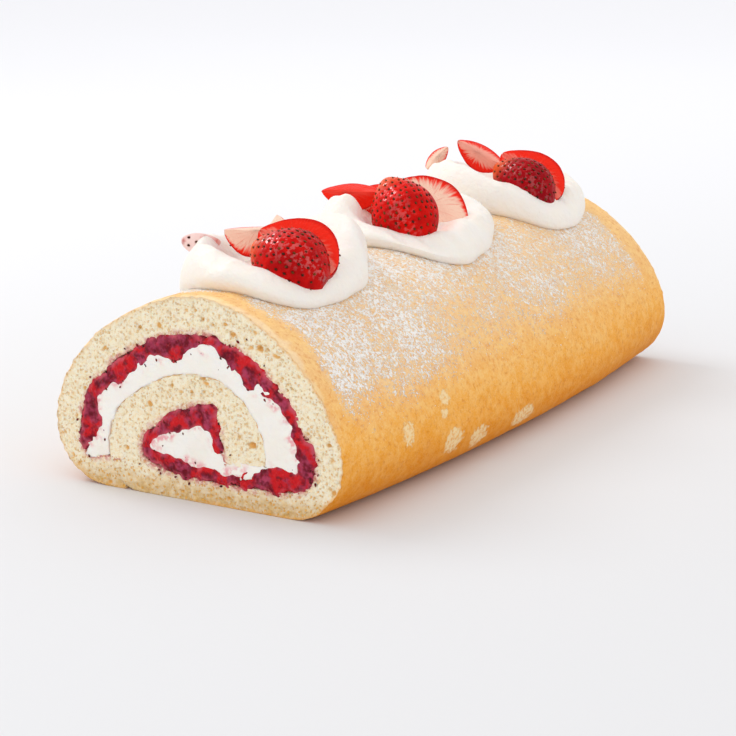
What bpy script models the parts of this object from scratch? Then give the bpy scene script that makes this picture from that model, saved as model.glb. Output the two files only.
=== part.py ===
"""Swiss roll cake: one sheet of sponge rolled up with berry jam and whipped cream, three spooned
dollops of cream along its top, and cut strawberries lying in each dollop.

+Y runs along the roll, +X is to the right of someone facing the cut end at -Y, and the roll lies on
z = 0. Sizes are in millimetres; they become metres where points become vertices.
"""

import math

import bmesh
import bpy
import numpy as np
from mathutils import Matrix, Vector

MM = 0.001
GAP = 0.3
SEAT = 0.6
FLAT_BASE = 0.6

# --- the roll ---------------------------------------------------------------------------------
ROLL_LENGTH = 250.0
HALF_LENGTH = ROLL_LENGTH / 2
BELLY_HEIGHT = 20.0
BOW = 3.5
FOOT_SPREAD = 0.1
LENGTH_SEGMENTS = 5

# The sponge sheet's middle line in the cut face, from the tail tucked under the left side, round the
# outside, along the bottom and into the core: x, z and the sheet's thickness there.
SHEET = (
    (-34.8, 1.7, 2.8),
    (-42.0, 4.1, 5.2),
    (-47.2, 9.2, 7.4),
    (-49.4, 15.4, 8.7),
    (-49.2, 22.5, 9.6),
    (-45.2, 33.0, 10.2),
    (-36.3, 43.6, 10.4),
    (-23.5, 52.4, 10.8),
    (-8.5, 58.2, 11.6),
    (7.5, 59.2, 11.8),
    (22.5, 53.9, 11.4),
    (35.4, 43.9, 11.5),
    (44.4, 31.4, 11.4),
    (48.7, 19.2, 10.2),
    (46.0, 9.8, 9.0),
    (38.5, 4.7, 8.4),
    (24.0, 3.7, 7.4),
    (6.0, 3.7, 7.4),
    (-12.0, 4.3, 8.6),
    (-24.2, 7.3, 13.2),
    (-27.2, 15.0, 12.6),
    (-24.2, 23.4, 12.4),
    (-14.5, 30.6, 12.0),
    (-2.5, 35.8, 10.6),
    (8.6, 35.4, 9.6),
    (15.4, 28.4, 13.6),
    (18.2, 19.6, 16.6),
    (18.6, 14.6, 15.0),
)
SAMPLES_PER_STATION = 3
JAM_START = 0.6
JAM_END_TRIM = 0.6
JAM_TOE = 0.6
# The jam's thickness at even steps from the tail to the core.
JAM_THICKNESS = (4.2, 4.6, 4.2, 3.6, 4.2, 4.6, 4.0, 5.0, 5.4, 3.6, 3.2, 3.2, 3.0, 3.6, 3.4, 2.4)
INNER_TURN_START = 19.3

# --- the dollops of cream ---------------------------------------------------------------------
DOLLOP_SECTORS = 24
DOLLOP_RINGS = 12
HOLLOW_START, HOLLOW_END = 0.3, 0.8
# Each dollop: its middle in plan, its reach and rim height every 45 degrees from +X towards +Y, and
# the depth of cream in its middle.
DOLLOPS = {
    "dollop_front": (
        (0.0, -77.0),
        (30, 30, 39, 33, 30, 34, 41, 36),
        (6.5, 11, 14, 14, 13, 11, 9, 6),
        6.5,
    ),
    "dollop_middle": (
        (1.0, 9.0),
        (31, 34, 41, 33, 28, 34, 40, 38),
        (7, 10.5, 12, 12, 14, 17, 10, 6),
        5.5,
    ),
    "dollop_back": (
        (0.0, 85.0),
        (31, 34, 36, 34, 31, 32, 32, 33),
        (7, 8.5, 10, 16, 21, 21, 16, 8),
        10.0,
    ),
}

# --- the cut strawberries ---------------------------------------------------------------------
BERRY_SEGMENTS = 12
BERRY_RINGS = 8
TIP_TAPER = 0.62
WIDEST_AT = 0.5 ** (1 / TIP_TAPER)
# Each piece: its middle, the way its tip points, the way its cut side faces, its length and width,
# and the angle of flesh that the knife left.
STRAWBERRIES = {
    "strawberry_front_1": ((14.5, -89, 77.4), (-0.41, -0.88, -0.17), (0.42, 0.05, 0.9), 25, 24, 180),
    "strawberry_front_2": ((-6, -81.5, 79), (-0.8, -0.59, -0.02), (0.32, -0.55, 0.77), 19, 18, 90),
    "strawberry_front_3": ((-26, -75.5, 74.2), (-0.82, -0.57, 0.07), (-0.5, 0.86, 0.05), 18, 13, 90),
    "strawberry_front_4": ((-14.5, -59, 77), (-0.3, 0.95, 0.1), (-0.3, 0.1, 0.9), 21, 18, 90),
    "strawberry_middle_1": ((4.5, -2, 77.8), (0.05, -0.35, 0.94), (-0.33, 0.9, 0.3), 21, 23, 180),
    "strawberry_middle_2": ((9, 13.5, 78.2), (0.88, 0.29, -0.37), (0.35, -0.6, 0.72), 26, 22, 90),
    "strawberry_middle_3": ((-18.5, -3, 80.5), (-0.81, -0.59, 0.03), (0.43, -0.73, 0.53), 18, 14, 90),
    "strawberry_middle_4": ((-18, 10, 76.5), (-0.55, 0.3, 0.78), (0.5, -0.8, 0.3), 20, 17, 90),
    "strawberry_back_1": ((15, 79, 80.5), (0.83, 0.21, -0.52), (0.54, 0.06, 0.78), 26, 24, 180),
    "strawberry_back_2": ((-6.5, 80, 84.5), (-0.77, -0.43, 0.48), (0.45, -0.77, 0.44), 20, 15, 90),
    "strawberry_back_3": ((-24, 78, 82), (-0.87, -0.48, 0.1), (-0.5, 0.86, 0.14), 15, 10, 90),
    "strawberry_back_4": ((0, 103, 76), (0.3, 0.95, -0.1), (-0.3, 0.1, 0.9), 21, 18, 90),
}

CREAM_COLOUR = (0.93, 0.90, 0.85)
SPONGE_COLOUR = (0.87, 0.66, 0.36)
JAM_COLOUR = (0.45, 0.02, 0.05)
BERRY_COLOUR = (0.72, 0.03, 0.02)


# --- curves -----------------------------------------------------------------------------------
def smooth_path(points, per_span):
    """Catmull-Rom curve through rows of numbers, with per_span samples from each row to the next."""
    rows = np.array(points, float)
    rows = np.vstack([2 * rows[0] - rows[1], rows, 2 * rows[-1] - rows[-2]])
    path = []
    for a, b, c, d in zip(rows, rows[1:], rows[2:], rows[3:]):
        for t in np.arange(per_span) / per_span:
            path.append(
                0.5 * (2 * b + (c - a) * t + (2 * a - 5 * b + 4 * c - d) * t**2 + (3 * b - a - 3 * c + d) * t**3)
            )
    path.append(rows[-2])
    return np.array(path)


def outward_normals(line):
    """Unit normals on the outer side of a line that runs clockwise round the roll."""
    along = np.gradient(line, axis=0)
    along /= np.linalg.norm(along, axis=1, keepdims=True)
    return np.stack([-along[:, 1], along[:, 0]], axis=1)


def cyclic(values, turn):
    """Smooth value at turn (0 to 1) round a ring of evenly spaced values."""
    n = len(values)
    at = (turn % 1.0) * n
    i = int(at)
    t = at - i
    a, b, c, d = (values[(i + k) % n] for k in (-1, 0, 1, 2))
    return 0.5 * (2 * b + (c - a) * t + (2 * a - 5 * b + 4 * c - d) * t**2 + (3 * b - a - 3 * c + d) * t**3)


def smoothstep(low, high, value):
    t = min(1.0, max(0.0, (value - low) / (high - low)))
    return t * t * (3 - 2 * t)


def clear_offset(line, shift, distance):
    """line moved by shift, without the points that a tight inside corner brings back too close to it."""
    moved = line + shift
    nearest = np.linalg.norm(moved[:, None] - line[None], axis=2).min(axis=1)
    return moved[nearest > distance * 0.985 - 0.02]


# --- the roll's section -----------------------------------------------------------------------
def sheet_sides():
    """Station of each sample, the sheet's skin side, its filling side and the outward normals."""
    samples = smooth_path(SHEET, SAMPLES_PER_STATION)
    stations = np.arange(len(samples)) / SAMPLES_PER_STATION
    middle, half = samples[:, :2], samples[:, 2:] / 2
    normals = outward_normals(middle)
    skin = middle + normals * half
    skin[skin[:, 1] < FLAT_BASE, 1] = 0.0
    return stations, skin, middle - normals * half, normals


def rounded_core(skin, filling, normals):
    """Two points that round off the sheet's end in the core."""
    middle = (skin[-1] + filling[-1]) / 2
    ahead = np.array([normals[-1][1], -normals[-1][0]])
    return np.array([(skin[-1] + middle) / 2 + ahead * 1.6, (filling[-1] + middle) / 2 + ahead * 1.6])


def section_outlines():
    """Closed outlines of the sponge, the jam and the cream in the cut face."""
    stations, skin, filling, normals = sheet_sides()
    core = rounded_core(skin, filling, normals)
    sponge = np.vstack([skin, core, filling[::-1]])

    jammed = (stations >= JAM_START) & (stations <= stations[-1] - JAM_END_TRIM)
    steps = np.linspace(stations[jammed][0], stations[jammed][-1], len(JAM_THICKNESS))
    depth = np.interp(stations, steps, JAM_THICKNESS)[:, None]
    line, inward = filling[jammed], -normals[jammed]
    outer = clear_offset(line, inward * GAP, GAP)
    inner = clear_offset(line, inward * (GAP + depth[jammed]), (GAP + depth[jammed])[:, 0])
    toe = outer[0] + inward[0] * depth[jammed][0] * JAM_TOE
    jam = np.vstack([outer, inner[::-1], toe])

    reach = 2 * GAP + depth[jammed]
    near_jam = clear_offset(line, inward * reach, reach[:, 0])
    turned = stations >= INNER_TURN_START
    near_skin = skin[turned] + normals[turned] * GAP
    ahead = np.array([normals[-1][1], -normals[-1][0]])
    near_core = (core + ahead * GAP)[::-1]
    corner = filling[-1] + (ahead - normals[-1]) * GAP
    mouth = filling[0] - normals[0] * 2 * GAP
    cream = np.vstack([mouth, near_jam, corner, near_core, near_skin[::-1]])
    return sponge, jam, cream


def roof_height(x):
    """Height of the roll's top at x."""
    _, skin, _, _ = sheet_sides()
    top = skin[: np.argmax(skin[:, 0]) + 1]
    top = top[np.argmin(top[:, 0]) :]
    return float(np.interp(x, top[:, 0], top[:, 1]))


def bow_at(y):
    """How far the roll bows towards +X, and how much its foot spreads, at y."""
    middle = 1 - (y / HALF_LENGTH) ** 2
    return BOW * middle, FOOT_SPREAD * middle


def warped(x, y, z):
    """A point of the straight roll, moved to where the bowed and slumped roll has it."""
    bow, spread = bow_at(y)
    low = max(0.0, 1 - z / BELLY_HEIGHT)
    return Vector((x * (1 + spread * low) + bow, y, z))


# --- objects ----------------------------------------------------------------------------------
def new_collection(name):
    found = bpy.data.collections.new(name)
    bpy.context.scene.collection.children.link(found)
    return found


def material(name, colour, roughness):
    made = bpy.data.materials.new(name)
    made.use_nodes = True
    shader = made.node_tree.nodes["Principled BSDF"]
    shader.inputs["Base Color"].default_value = (*colour, 1.0)
    shader.inputs["Roughness"].default_value = roughness
    shader.inputs["Metallic"].default_value = 0.0
    return made


def add_mesh(name, mesh, collection, finish=None):
    made = bpy.data.objects.new(name, mesh)
    collection.objects.link(made)
    if finish:
        mesh.materials.append(finish)
    mesh.shade_smooth()
    mesh.set_sharp_from_angle(angle=math.radians(40))
    return made


def extruded_layer(name, outline, collection, finish):
    """One layer of the roll: its outline in the cut face, extruded along Y, then bowed and slumped."""
    curve = bpy.data.curves.new(name, "CURVE")
    curve.dimensions = "2D"
    curve.fill_mode = "BOTH"
    curve.extrude = HALF_LENGTH * MM
    spline = curve.splines.new("POLY")
    spline.points.add(len(outline) - 1)
    for point, (x, z) in zip(spline.points, outline):
        point.co = (x * MM, z * MM, 0.0, 1.0)
    spline.use_cyclic_u = True
    flat = bpy.data.objects.new(name + "_outline", curve)
    bpy.context.scene.collection.objects.link(flat)
    bpy.context.view_layer.update()
    evaluated = flat.evaluated_get(bpy.context.evaluated_depsgraph_get())
    mesh = bpy.data.meshes.new_from_object(evaluated)
    mesh.name = name
    bpy.data.objects.remove(flat)

    bm = bmesh.new()
    bm.from_mesh(mesh)
    bmesh.ops.remove_doubles(bm, verts=bm.verts, dist=0.01 * MM)
    bmesh.ops.transform(bm, matrix=Matrix.Rotation(math.pi / 2, 4, "X"), verts=bm.verts)
    for step in range(1, LENGTH_SEGMENTS):
        y = -HALF_LENGTH + ROLL_LENGTH * step / LENGTH_SEGMENTS
        bmesh.ops.bisect_plane(
            bm,
            geom=bm.verts[:] + bm.edges[:] + bm.faces[:],
            dist=0.01 * MM,
            plane_co=(0, y * MM, 0),
            plane_no=(0, 1, 0),
        )
    for vertex in bm.verts:
        vertex.co = warped(*(vertex.co / MM)) * MM
    bmesh.ops.recalc_face_normals(bm, faces=bm.faces)
    bm.to_mesh(mesh)
    bm.free()
    mesh.materials.clear()
    return add_mesh(name, mesh, collection, finish)


def dollop(name, middle, reaches, rims, depth, collection, finish):
    """A spooned mound of cream: a ball reshaped to a rounded rim round a hollow, on the roll's top."""
    bm = bmesh.new()
    bmesh.ops.create_uvsphere(bm, u_segments=DOLLOP_SECTORS, v_segments=DOLLOP_RINGS, radius=1.0)
    for vertex in bm.verts:
        x, y, z = vertex.co
        out = min(1.0, math.hypot(x, y))
        turn = math.atan2(y, x) / math.tau
        above = z > 1e-4
        reach = cyclic(reaches, turn) * out * (1.0 if above else 0.97)
        px = middle[0] + reach * math.cos(turn * math.tau)
        py = middle[1] + reach * math.sin(turn * math.tau)
        height = SEAT
        if z > -1e-4:
            rim = depth + (cyclic(rims, turn) - depth) * smoothstep(HOLLOW_START, HOLLOW_END, out)
            height += rim * max(0.0, 1 - out**7) ** 0.5 + 1.2 * (not above)
        bow, _ = bow_at(py)
        vertex.co = Vector((px, py, roof_height(px - bow) + height)) * MM
    mesh = bpy.data.meshes.new(name)
    bm.to_mesh(mesh)
    bm.free()
    return add_mesh(name, mesh, collection, finish)


def berry_radius(along):
    """A strawberry's radius, as a share of its widest, from its tip (0) to its hulled end (1)."""
    if along < WIDEST_AT:
        return math.sin(math.pi * along**TIP_TAPER) ** 0.72
    return math.cos((along - WIDEST_AT) * 1.25) ** 0.8


def strawberry(name, place, tip, cut, length, width, flesh, swell=0.0):
    """Mesh and placing of a cut strawberry: a ball drawn out to a tip at +X, then cut on its +Z side."""
    bm = bmesh.new()
    bmesh.ops.create_uvsphere(bm, u_segments=BERRY_SEGMENTS, v_segments=BERRY_RINGS, radius=1.0)
    for vertex in bm.verts:
        x, y, z = vertex.co
        along = (1 - z) / 2
        ring = math.hypot(x, y)
        radius = berry_radius(along) * (width / 2 + swell) if 0.001 < along < 0.999 else 0.0
        side = Vector((x, y)) * (radius / ring) if ring > 1e-6 else Vector((0, 0))
        vertex.co = Vector(((0.5 - along) * (length + 2 * swell), side.x, side.y)) * MM
    for turn in (90,) if flesh == 180 else (flesh / 2, 180 - flesh / 2):
        away = Vector((0, math.cos(math.radians(turn)), math.sin(math.radians(turn))))
        made = bmesh.ops.bisect_plane(
            bm,
            geom=bm.verts[:] + bm.edges[:] + bm.faces[:],
            plane_co=away * swell * MM,
            plane_no=away,
            clear_outer=True,
        )
        rim = [e for e in made["geom_cut"] if isinstance(e, bmesh.types.BMEdge)]
        bmesh.ops.holes_fill(bm, edges=rim)
    bmesh.ops.recalc_face_normals(bm, faces=bm.faces)
    mesh = bpy.data.meshes.new(name)
    bm.to_mesh(mesh)
    bm.free()
    forward = Vector(tip).normalized()
    across = Vector(cut).cross(forward).normalized()
    turned = Matrix((forward, across, forward.cross(across))).transposed().to_4x4()
    return mesh, Matrix.Translation(Vector(place) * MM) @ turned


def cut_away(target, cutter):
    boolean = target.modifiers.new("pocket_" + cutter.name, "BOOLEAN")
    boolean.operation = "DIFFERENCE"
    boolean.solver = "EXACT"
    boolean.object = cutter


def main():
    for old in list(bpy.data.objects):
        bpy.data.objects.remove(old)
    cake = new_collection("swiss_roll_cake")
    cutters = new_collection("cutters")

    sponge_finish = material("sponge", SPONGE_COLOUR, 0.85)
    jam_finish = material("berry_jam", JAM_COLOUR, 0.3)
    cream_finish = material("whipped_cream", CREAM_COLOUR, 0.55)
    berry_finish = material("strawberry", BERRY_COLOUR, 0.3)

    sponge, jam, cream = section_outlines()
    extruded_layer("sponge", sponge, cake, sponge_finish)
    extruded_layer("berry_jam", jam, cake, jam_finish)
    extruded_layer("cream_filling", cream, cake, cream_finish)

    mounds = {
        name: dollop(name, *sizes, cake, cream_finish) for name, sizes in DOLLOPS.items()
    }
    for name, sizes in STRAWBERRIES.items():
        mesh, placing = strawberry(name, *sizes)
        piece = add_mesh(name, mesh, cake, berry_finish)
        piece.matrix_world = placing
        mesh, placing = strawberry(name + "_pocket", *sizes, GAP)
        pocket = add_mesh(name + "_pocket", mesh, cutters)
        pocket.matrix_world = placing
        pocket.hide_render = True
        pocket.display_type = "WIRE"
        home = name.split("_")[1]
        cut_away(mounds["dollop_" + home], pocket)


main()
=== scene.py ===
"""Swiss roll cake: the looks of every piece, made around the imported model.

Laid out as an add-on: the settings hold the sizes and colours that a user would change, one operator
makes each piece or group of like pieces, and main() calls them in order. +Y runs along the roll, +X is
to the right of someone facing the cut end at -Y, and the roll lies on z = 0. Points are worked out in
millimetres and become metres where they become vertices.
"""

import math

import bmesh
import bpy
import numpy as np
from bpy.props import FloatProperty, FloatVectorProperty, IntProperty, PointerProperty
from mathutils import Matrix, Vector
from mathutils.geometry import delaunay_2d_cdt


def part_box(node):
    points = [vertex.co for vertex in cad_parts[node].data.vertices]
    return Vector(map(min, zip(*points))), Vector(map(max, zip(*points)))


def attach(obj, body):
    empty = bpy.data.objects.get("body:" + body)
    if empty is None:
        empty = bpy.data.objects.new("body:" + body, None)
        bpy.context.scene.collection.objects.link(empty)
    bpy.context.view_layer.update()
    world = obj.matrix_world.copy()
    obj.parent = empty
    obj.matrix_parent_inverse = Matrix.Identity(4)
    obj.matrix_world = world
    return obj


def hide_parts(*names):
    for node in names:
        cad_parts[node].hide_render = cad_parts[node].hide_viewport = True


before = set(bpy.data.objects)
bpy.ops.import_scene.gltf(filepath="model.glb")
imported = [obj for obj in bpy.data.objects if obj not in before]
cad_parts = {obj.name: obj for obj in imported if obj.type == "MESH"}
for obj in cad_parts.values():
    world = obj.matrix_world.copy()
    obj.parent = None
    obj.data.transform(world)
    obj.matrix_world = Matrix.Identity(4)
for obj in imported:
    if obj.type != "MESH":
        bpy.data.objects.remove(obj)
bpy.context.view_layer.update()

bl_info = {
    "name": "Swiss Roll Cake",
    "version": (1, 0, 0),
    "blender": (4, 5, 0),
    "location": "3D View > Sidebar > Cake",
    "description": "Makes a filled swiss roll with spooned cream, cut strawberries and icing sugar",
    "category": "Add Mesh",
}

MM = 0.001
ROOT = "root"

# --- the roll's form, in millimetres ------------------------------------------------------------
HALF_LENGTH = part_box("sponge")[1][1] / MM
BELLY_HEIGHT = 20.0
BOW = 3.5
FOOT_SPREAD = 0.1
# The sponge sheet's middle line in the cut face, from the tail tucked under the left side, round the
# outside, along the bottom and into the core: x, z and the sheet's thickness there.
SHEET = (
    (-27.0, 4.8, 9.6),
    (-34.5, 5.0, 10.0),
    (-41.0, 5.2, 7.6),
    (-47.2, 9.2, 7.4),
    (-49.4, 15.4, 8.7),
    (-49.2, 22.5, 9.6),
    (-45.2, 33.0, 10.2),
    (-36.3, 43.6, 10.4),
    (-23.5, 52.4, 10.8),
    (-8.5, 58.2, 11.6),
    (7.5, 59.2, 11.8),
    (22.5, 53.9, 11.4),
    (35.4, 43.9, 11.5),
    (44.4, 31.4, 11.4),
    (48.7, 19.2, 10.2),
    (46.0, 9.8, 9.0),
    (38.5, 4.7, 8.4),
    (24.0, 3.7, 7.4),
    (6.0, 3.7, 7.4),
    (-12.0, 4.3, 8.6),
    (-24.2, 7.3, 13.2),
    (-27.2, 15.0, 12.6),
    (-24.2, 23.4, 12.4),
    (-14.5, 30.6, 12.0),
    (-2.5, 35.8, 10.6),
    (8.6, 35.4, 9.6),
    (15.4, 28.4, 13.6),
    (18.2, 19.6, 16.6),
    (18.6, 14.6, 15.0),
)
SAMPLES_PER_SPAN = 24
SHEET_STEP = 0.5
CORE_BULGE = 2.4
CORE_COLUMNS = 6
LINING_ROWS = 6
LAYER_WALLS = 8
# Distances from each cut of the skin's first rows, and of the even rows between them.
EDGE_ROWS = (0.0, 0.35, 0.9, 1.7)
EVEN_ROWS_START = 3.0
# How far the jam's stain soaks into the crumb and the cream.
STAIN_REACH = 2.6
# Shares of the sheet's length: where the jam starts and ends, where the cream starts to lie against
# the inner turn's skin, and where the skin that can be dusted ends.
JAM_SPAN = (0.055, 0.985)
INNER_TURN = 0.7
DUSTED_TURN = 0.68
# Height of the cream's lowest point on the left, above the tail.
CREAM_FOOT = 10.0
JAM_THICKNESS = (
    5.4, 8.8, 9.0, 3.2, 7.2, 7.0, 5.8, 7.6, 5.4, 4.2, 8.2, 8.6, 5.0, 4.4, 6.0, 7.0, 6.4, 8.6, 7.4,
    4.6, 3.6, 6.2, 5.2, 6.6, 4.0, 4.4, 7.4, 7.8, 7.0, 4.2, 2.6,
)
# Large air holes in the cut: x, z and radius.
LARGE_HOLES = (
    (-12.8, 54.9, 1.0), (14.5, 55.0, 1.0), (24.4, 52.0, 1.3), (3.7, 58.5, 0.8), (-20.1, 53.4, 0.9),
    (7.2, 57.1, 0.7), (11.8, 57.9, 0.8), (-16.9, 29.3, 1.1), (-8.3, 36.3, 0.8), (3.3, 39.9, 0.9),
    (21.2, 21.2, 1.4), (-1.1, 35.1, 0.8), (-26.3, 13.7, 0.9), (50.0, 10.5, 1.0), (48.4, 25.1, 0.9),
    (-8.7, 59.2, 0.6), (1.0, 61.0, 0.7), (31.0, 50.0, 0.7), (-33.0, 45.0, 0.7), (12.0, 3.0, 0.8),
)
# Places low on the right side where the skin stuck and tore: y, z, half length and half height.
TORN = (
    (-88, 21, 3.8, 4.6), (-64, 27, 3.4, 2.6), (-61, 12.4, 6.4, 5.0), (-43, 9.5, 6.4, 4.6),
    (-10.5, 9, 9.5, 3.8), (-66, 22.5, 2.6, 1.8),
)

# --- the toppings' form, in millimetres ---------------------------------------------------------
# Each dollop: its middle in plan, its reach and rim height at 16 even turns from +X towards +Y, the
# depth of cream in its middle, and its peaks: x, y, height and radius.
DOLLOPS = {
    "dollop_front": (
        (0.0, -77.0),
        (28.5, 29, 30, 36, 38, 35, 33, 31, 30, 31, 32, 34, 38, 40, 36, 30.5),
        (8, 9.5, 12, 13, 14, 14.5, 14.5, 15, 16.5, 16.5, 14.5, 11.5, 8, 5.2, 4.6, 5.8),
        2.4,
        ((-21, -86, 1.5, 6), (-12, -101, 1.4, 6), (6, -52, 1, 5), (-24, -92, -1.8, 2.2), (27, -86, 1.6, 4)),
    ),
    "dollop_middle": (
        (1.0, 9.0),
        (29.5, 30, 32, 36, 39, 37, 33, 30, 28, 31, 35, 38, 39, 37, 37, 33),
        (9, 8, 6, 6.5, 8, 11, 12, 13, 14, 16.5, 18, 13.5, 5.6, 2.8, 3.2, 6.4),
        1.8,
        ((26, 19, 4, 4), (-9.5, -11.5, 7, 5), (21, -6, 0.8, 3), (-22, -6, 1.2, 3)),
    ),
    "dollop_back": (
        (0.0, 85.0),
        (31, 32, 34, 36, 36, 35, 34, 32, 31, 32, 32, 32, 32, 33, 33, 32),
        (9.5, 9.5, 9.5, 9, 10, 13, 16, 19, 21, 22, 21, 19, 15.5, 12, 10.2, 9.6),
        4.4,
        ((-10, 66, 1.2, 7), (24, 97, 1.8, 5), (-2, 62, 1.2, 4)),
    ),
}
HOLLOW_START, HOLLOW_END = 0.4, 0.84
LIP_HEIGHT = 3.0
LIP_TUCK = 0.09
SEAT_DEPTH = 0.6
# Each strawberry piece: its middle, the way its tip points, the way its cut side faces, its length
# and width, and the angle of flesh that the knife left.
STRAWBERRIES = {
    "strawberry_front_1": ((14.5, -92.4, 71.3), (0.92, 0.07, -0.38), (-0.58, 0.69, -0.43), 28, 24, 184),
    "strawberry_front_2": ((-6, -81.5, 79), (-0.8, -0.59, -0.02), (0.32, -0.55, 0.77), 19, 18, 90),
    "strawberry_front_3": ((-23.8, -85.4, 74.0), (-0.82, -0.57, 0.07), (-0.5, 0.86, 0.05), 13, 10, 90),
    "strawberry_front_4": ((-14.5, -59, 77), (-0.3, 0.95, 0.1), (-0.3, 0.1, 0.9), 21, 18, 90),
    "strawberry_middle_1": ((7.5, -6.3, 74.1), (0.63, -0.20, -0.75), (-0.33, 0.9, 0.3), 30, 24, 210),
    "strawberry_middle_2": ((9.2, 10.2, 74.3), (0.72, 0.4, -0.56), (0.61, -0.56, 0.56), 31, 25, 180),
    "strawberry_middle_3": ((-16.5, -1.5, 79.5), (0.81, 0.59, -0.03), (0.43, -0.73, 0.53), 22, 15, 90),
    "strawberry_middle_4": ((-15, 10, 75.5), (0.75, 0.5, 0.3), (0.5, -0.8, 0.3), 20, 15, 90),
    "strawberry_back_1": ((14.1, 74.9, 73.6), (0.85, 0.04, -0.53), (-0.67, 0.54, -0.51), 28, 22, 184),
    "strawberry_back_2": ((-6.5, 80, 84), (0.77, 0.43, -0.48), (0.45, -0.77, 0.44), 21, 15, 90),
    "strawberry_back_3": ((-24.5, 77.2, 81.4), (-0.6, -0.35, -0.7), (0.49, -0.84, 0.24), 12, 9, 90),
    "strawberry_back_4": ((0, 103, 76), (0.3, 0.95, -0.1), (-0.3, 0.1, 0.9), 21, 18, 90),
}
# Halves that have slid out behind two of the pieces, listed the same way.
SLID_HALVES = {
    "strawberry_front_1": ((14.8, -88.2, 75.0), (0.92, 0.07, -0.38), (0.55, -0.65, 0.52), 29, 25, 180),
    "strawberry_back_1": ((15.2, 79.5, 77.2), (0.85, 0.04, -0.53), (0.67, -0.54, 0.51), 29, 24, 180),
}
# How pale the flesh, how dark the skin and how pale the skin of some pieces are, from 0 to 1.
PALE_FLESH = {
    "strawberry_front_1": 0.34, "strawberry_front_2": 0.95, "strawberry_front_4": 1.0,
    "strawberry_middle_2": 1.0, "strawberry_middle_3": 0.0, "strawberry_middle_4": 0.6,
    "strawberry_back_1": 0.3, "strawberry_back_2": 0.55, "strawberry_back_3": 1.0,
}
USUAL_PALENESS = 0.1
DARK_SKIN = {"strawberry_back_1": 0.7, "strawberry_front_1": 0.2}
PALE_SKIN = {"strawberry_front_3": 0.9, "strawberry_back_3": 0.8, "strawberry_front_4": 0.4}
# The side of each berry that its juice has run to and wetted.
WET_SIDE = (-0.17, -0.63, 0.76)
TIP_TAPER = 0.88
BLUNTNESS = 0.68
# Steps round the skin of a half and of a wedge, and from the skin to the axis in a cut.
HALF_STEPS, WEDGE_STEPS, CUT_STEPS = 84, 46, 17
DIMPLE_RADIUS = 0.85
# Seeds: row spacing as a share of seed spacing, bare angle at the cuts in degrees, scatter along the
# berry and round it, and depth as a share of the dimple's.
SEED_ROW_SHARE = 0.92
BARE_ANGLE = 9.0
SEED_SCATTER = (0.006, 1.2)
SEED_SINK = 0.75
# Half the width and half the height of a seed or a pip, as shares of its length.
DROP_HALVES = (0.3, 0.2)
PIP_SCATTER = 1.5
PIP_LENGTHS = (0.7, 1.5)
GRAIN_REACHES = (0.12, 0.34)
TRIES_PER_GRAIN = 5

# --- the stage, in millimetres ------------------------------------------------------------------
FLOOR_REACH = 12000.0
FLOOR_DROP = 0.02
LIGHT_PLACE = (-850.0, 50.0, 950.0)
LIGHT_TARGET = (0.0, 0.0, 40.0)
LIGHT_WIDTH = 550.0


def srgb(red, green, blue):
    """A linear colour from display values between 0 and 255."""
    shares = [v / 255 for v in (red, green, blue)]
    return tuple(v / 12.92 if v <= 0.04045 else ((v + 0.055) / 1.055) ** 2.4 for v in shares)


# --- settings ---------------------------------------------------------------------------------
def length_setting(name, description, default):
    """A size that is entered in millimetres."""
    return FloatProperty(name=name, description=description, default=default, min=0.0)


def colour_setting(name, description, display):
    """A colour whose default is given in display values between 0 and 255."""
    return FloatVectorProperty(
        name=name, description=description, default=srgb(*display), subtype="COLOR", size=3, min=0.0, max=1.0
    )


class SpongeSettings(bpy.types.PropertyGroup):
    """Sizes and colours of the baked sheet."""

    column_step: length_setting("Column step", "Distance between columns round the roll, in mm", 0.54)
    crumb_rows: IntProperty(name="Crumb rows", description="Rows across the sheet in each cut", default=20)
    skin_rows: IntProperty(name="Skin rows", description="Rows of skin along the roll", default=100)
    holes: IntProperty(name="Holes", description="Middling air holes in each cut", default=170)
    fine_holes: IntProperty(name="Fine holes", description="Small air holes in each cut", default=2200)
    relief: length_setting("Skin relief", "Height of the skin's unevenness, in mm", 0.35)
    crumb: colour_setting("Crumb", "Colour of the cut crumb", (255, 243, 214))
    # The crumb's colour low in the cut, which is darker towards the bottom.
    crumb_low: colour_setting("Bottom crumb", "Colour of the denser crumb at the bottom", (218, 180, 120))
    # Painted shade: the darker golden colour inside the air holes.
    pore_painted_shade: colour_setting("Pores", "Colour inside the air holes", (240, 180, 88))
    skin_top: colour_setting("Upper skin", "Colour of the skin high on the roll", (242, 192, 130))
    skin_side: colour_setting("Side skin", "Colour of the skin on the sides", (245, 172, 66))
    # Painted shade and painted warm reflected light: the darker, more saturated amber of the skin near the
    # table.
    skin_low_painted_shade: colour_setting("Lower skin", "Colour of the skin near the table", (228, 138, 4))


class FillingSettings(bpy.types.PropertyGroup):
    """Sizes and colours of the jam and the cream between the turns."""

    jam_step: length_setting("Jam step", "Distance between points in the jam's cut, in mm", 0.5)
    cream_step: length_setting("Cream step", "Distance between points in the cream's cut, in mm", 0.7)
    jam_bulge: length_setting("Jam bulge", "How far the jam's lumps stand out of the cut, in mm", 0.9)
    pips: IntProperty(name="Pips", description="Dark pips along the jam's edge in each cut", default=90)
    jam_dark: colour_setting("Dark jam", "Colour of the jam where it is thick", (112, 12, 32))
    jam_bright: colour_setting("Bright jam", "Colour of the jam's fresh pulp", (206, 24, 32))
    jam_pink: colour_setting("Creamy jam", "Colour of the jam where it mixes with cream", (176, 62, 92))
    cream: colour_setting("Cream", "Colour of the whipped cream", (252, 248, 241))
    stain: colour_setting("Stain", "Colour of the cream that the jam has stained", (240, 160, 168))


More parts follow.
